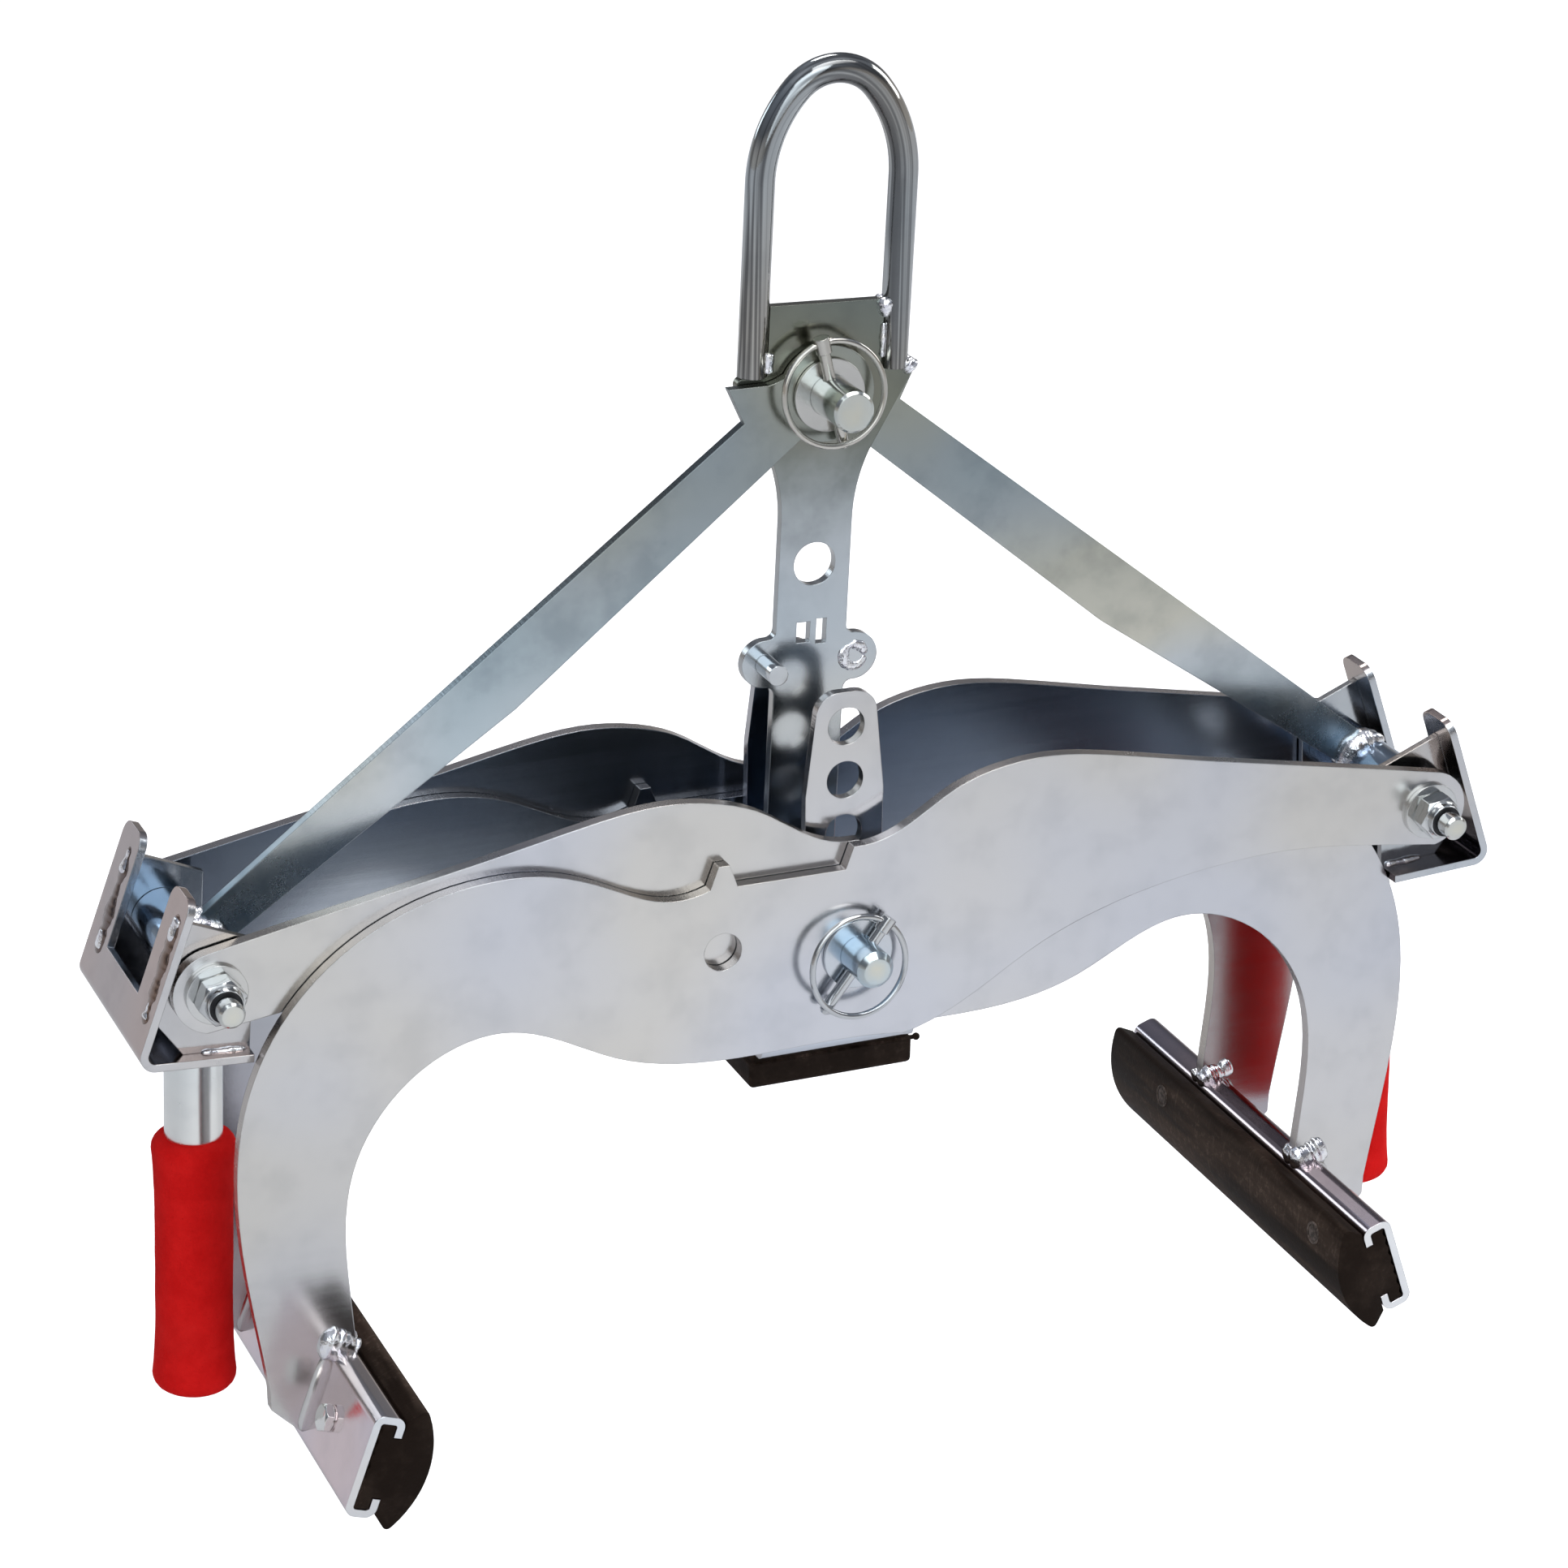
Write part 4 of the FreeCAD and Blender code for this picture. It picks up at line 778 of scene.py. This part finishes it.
# Painted reflection: dark streaks along the bar stand in for the room mirrored in it.
bail_zinc = zinc("bail_zinc", ((0.41, 0.46, 0.5), (0.46, 0.48, 0.485), (0.48, 0.455, 0.41)), 0.08,
                 (330, 330, 4), 0.14, 0.35, cut=None, painted_streak=(0.33, 0.33, 0.34), bend=(0.466, 0.7))
dress(hanger_zinc, "hanger_plate")
dress(bail_zinc, "lifting_bail")
dress(stud_zinc, "guide_stud_front", "guide_stud_rear")
hanger_lean = math.radians(1.7)
hanger_swing = Matrix.Translation(top_pin) @ Matrix.Rotation(hanger_lean, 4, "Y")
bail_joint = 0.0232
shoulder_rise = 0.007
plate_rise = 0.0336
bail_seams = (
    ((-bail_joint, shoulder_rise + 0.001), (-bail_joint, shoulder_rise + 0.0095), 0.0025),
    ((bail_joint, plate_rise - 0.007), (bail_joint, plate_rise + 0.0008), 0.0027),
    ((bail_joint - 0.0004, shoulder_rise + 0.004), (bail_joint - 0.0004, plate_rise - 0.009), 0.0013),
    ((bail_joint + 0.0095, shoulder_rise + 0.002), (bail_joint + 0.0125, shoulder_rise - 0.001), 0.003))
bail_seam_proud = 0.0004
ear_place = Vector((0.0183, -plate_half, -0.1064))
ear_weld_reach = 0.0044
ear_weld_width = 0.0019
shape = bmesh.new()
for face in (-1, 1):
    front = face * (plate_half + bail_seam_proud)
    for start, end, width in bail_seams:
        foot = Vector((start[0], front, start[1]))
        head = Vector((end[0], front, end[1]))
        weld_bead(shape, [foot, head], width, 0.9, Vector((0, face, 0)), 0.5)
ear_ring = []
for step in range(link_weld_steps + 1):
    turn = 2 * math.pi * step / link_weld_steps
    ear_ring.append(ear_place + Vector((math.cos(turn), 0, math.sin(turn))) * ear_weld_reach)
weld_bead(shape, ear_ring, ear_weld_width, 0.4, Vector((0, -1, 0)), 0.7)
bmesh.ops.transform(shape, matrix=hanger_swing, verts=shape.verts)
piece("bail_welds", shape, "hanger", weld_made, weld_crease)


# Pins: turned steel pins with a head at the back, a washer under each end and a lynch pin through
# the nose. The lynch pin's spring ring snaps over and keeps it in.
nose_beige = (0.7, 0.67, 0.55, 1)
nose_reach = 0.012
nose_marks = [((0, -0.0648, 0.1764), nose_reach, nose_beige),
              ((0, -0.031, top_pin.z), nose_reach, nose_beige)]
# Painted reflection: the pins' zinc is tinted sky blue for the sky they mirror; the noses carry a beige
# spot.
pin_zinc_painted_sky = zinc("pin_zinc_painted_sky", ((0.42, 0.56, 0.69), (0.52, 0.63, 0.71), (0.61, 0.65, 0.64)), 0.12,
                (240, 30, 240), cut=None, marks=nose_marks)
spring_zinc = zinc("spring_zinc", ((0.56, 0.58, 0.6), (0.6, 0.6, 0.59), (0.58, 0.56, 0.51)), 0.12,
                   (500, 500, 500), cut=None)
for joint in ("top", "pivot"):
    dress(pin_zinc_painted_sky, joint + "_pin")
    dress(washer_zinc, joint + "_washer_front", joint + "_washer_rear")
    dress(spring_zinc, joint + "_lynch_pin", joint + "_lynch_ring")
dress(washer_zinc, "pivot_spacer_front", "pivot_spacer_rear")


# Carrier: a U bracket of 4 mm plate on the pivot pin. Its two tongues have a row of holes for the
# pin, and two round-headed screws hold the rubber foot under its floor.
# Painted shade: the tongues' faces that look inward are painted dark blue-grey.
carrier_zinc = zinc("carrier_zinc", ((0.56, 0.6, 0.67), (0.61, 0.62, 0.65), (0.62, 0.61, 0.6)), 0.14,
                    (60, 60, 8), 0.12, facing_light_and_shade=[((0.26, 0.31, 0.37), "Y", -0.004, -0.02, 0, 0.001)])
dress(carrier_zinc, "carrier_bracket")
dress(bolt_zinc, "foot_screws")


# Rubber foot: a moulded block under the carrier that lands on the stone. Its edges are rounded,
# a shallow step runs round under the floor, and the mould's sprue leaves a nib at each end.
foot_low, foot_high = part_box("foot_rubber")
foot_length = 0.0686
foot_width = 0.05
foot_round = 0.002
foot_step = 0.0012
step_drop = 0.003
step_slope = 0.0006
nib_reach = 0.0015
nib_length = 0.0014
nib_neck = ((0.0014, -0.001), (0.0009, 0.0004), (0.0009, nib_length))
nib_drop = 0.0045
nib_inset = 0.003
nib_steps = 8
foot_middle = Vector((0, 0, (foot_low.z + foot_high.z) / 2))
shape = bmesh.new()
bmesh.ops.create_cube(shape, size=1)
bmesh.ops.scale(shape, verts=shape.verts, vec=(foot_length, foot_width, foot_high.z - foot_low.z))
bmesh.ops.translate(shape, verts=shape.verts, vec=foot_middle)
round_edges(shape, shape.edges[:], foot_round, 4)
for drop in (step_drop, step_drop + step_slope):
    bmesh.ops.bisect_plane(shape, geom=shape.verts[:] + shape.edges[:] + shape.faces[:],
                           plane_co=(0, 0, foot_high.z - drop), plane_no=(0, 0, 1))
for vert in shape.verts:
    if vert.co.z > foot_high.z - step_drop - step_slope / 2:
        vert.co.x *= 1 - 2 * foot_step / foot_length
        vert.co.y *= 1 - 2 * foot_step / foot_width
for end in (-1, 1):
    seat = Vector((end * foot_length / 2, -end * (foot_width / 2 - nib_inset), foot_high.z - nib_drop))
    rings = [round_ring(*ring) for ring in nib_neck]
    for step in range(1, nib_steps):
        turn = math.pi * step / nib_steps
        height = nib_length + nib_reach * (1 - math.cos(turn))
        rings.append(round_ring(nib_reach * math.sin(turn), height))
    turned_rings(shape, rings, stood(seat, Vector((end, 0, 0))))
foot = piece("foot_block", shape, "carrier", rubber_made, rubber_crease)
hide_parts("foot_rubber")


# Studio: a plain pale floor, five soft lamps and a dim room, with the camera at the photograph's
# viewing angle. The background is white to the camera, and metal shows part of it too. The tongs
# hang a little over the floor, which leaves room for the jaws to come down as they close.
scene.view_settings.view_transform = "Standard"
floor_drop = 0.064
floor_half = 8
paper_grey = (0.74, 0.74, 0.75, 1)
floor_shape = bmesh.new()
bmesh.ops.create_grid(floor_shape, x_segments=1, y_segments=1, size=floor_half)
bmesh.ops.translate(floor_shape, verts=floor_shape.verts, vec=(0, 0, -floor_drop))
floor_mesh = bpy.data.meshes.new("floor")
floor_shape.to_mesh(floor_mesh)
floor_shape.free()
floor = bpy.data.objects.new("floor", floor_mesh)
scene.collection.objects.link(floor)
floor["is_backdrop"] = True
paper, paper_shader, paper_place = new_finish("pale_floor")
paper_shader.inputs["Base Color"].default_value = paper_grey
paper_shader.inputs["Roughness"].default_value = 0.9
paper_shader.inputs["Specular IOR Level"].default_value = 0.1
paper_shader.inputs["Emission Strength"].default_value = 0.8
seen = paper_place.add("ShaderNodeLightPath", out="Is Camera Ray")
mirrored = paper_place.add("ShaderNodeLightPath", out="Is Glossy Ray")
through = paper_place.add("ShaderNodeLightPath", out="Is Transmission Ray")
far = 1 - paper_place.near((0, 0, 0), 3)
(seen + mirrored * (0.06 + far * 0.42) + through).feed(paper_shader, "Emission Color")
floor.data.materials.append(paper)

world = bpy.data.worlds.new("studio")
scene.world = world
world.use_nodes = True
room = Shade(world.node_tree)
heading = room.add("ShaderNodeTexCoord", out="Generated")
dim = heading.part("Z").banded([(0.0, (0.48, 0.46, 0.44)), (0.1, (0.4, 0.38, 0.37)),
                                (0.25, (0.14, 0.145, 0.16)), (0.6, (0.2, 0.22, 0.26)),
                                (0.9, (0.45, 0.47, 0.52))])
white = room.add("ShaderNodeLightPath", out="Is Camera Ray")
clear = room.add("ShaderNodeLightPath", out="Is Transmission Ray")
(white + clear).mix(dim, (1, 1, 1, 1)).feed(world.node_tree.nodes["Background"], "Color")

lamps = (("overhead", (0.16, -0.42, 0.95), (0.16, -0.4, 0), 0.5, 1.6, (1, 0.99, 0.98), 100),
         ("front", (-0.35, -1.5, 1.2), (0, 0, 0.15), 1.5, 13, (0.9, 0.96, 1), 180),
         ("window", (-0.89, 1.55, 0.85), (-0.2, 0, 0.2), 0.5, 2.2, (0.82, 0.92, 1), 180),
         ("back", (0.3, 1.1, 1.7), (0.3, 1.0, 0), 0.6, 5, (1, 0.98, 0.96), 120),
         ("side", (1.5, 0.1, 1.0), (0, 0, 0.15), 0.7, 5, (1, 1, 1), 180))
for name, spot, aim, size, power, tone, spread in lamps:
    lamp = bpy.data.lights.new(name, "AREA")
    lamp.size = size
    lamp.spread = math.radians(spread)
    lamp.energy = power
    lamp.color = tone
    lamp_object = bpy.data.objects.new(name, lamp)
    scene.collection.objects.link(lamp_object)
    lamp_object.location = spot
    lamp_object.visible_camera = False
    lamp_object.rotation_euler = (Vector(aim) - Vector(spot)).to_track_quat("-Z", "Y").to_euler()

camera_data = bpy.data.cameras.new("camera")
camera = bpy.data.objects.new("camera", camera_data)
scene.collection.objects.link(camera)
camera_look = Vector((0.36744765, 0.84738354, -0.38330583))
camera_right = Vector((0.92037711, -0.39057786, 0.01883913))
camera_up = camera_right.cross(camera_look)
camera_turn = Matrix((camera_right, camera_up, -camera_look)).transposed()
camera_place = Matrix.Translation((-0.63239, -1.43106, 0.87689))
camera.matrix_world = camera_place @ camera_turn.to_4x4()
image_width = 1932
focal_pixels = 5429.8
camera_data.sensor_width = 36
camera_data.lens = camera_data.sensor_width * focal_pixels / image_width
scene.camera = camera

low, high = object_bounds()
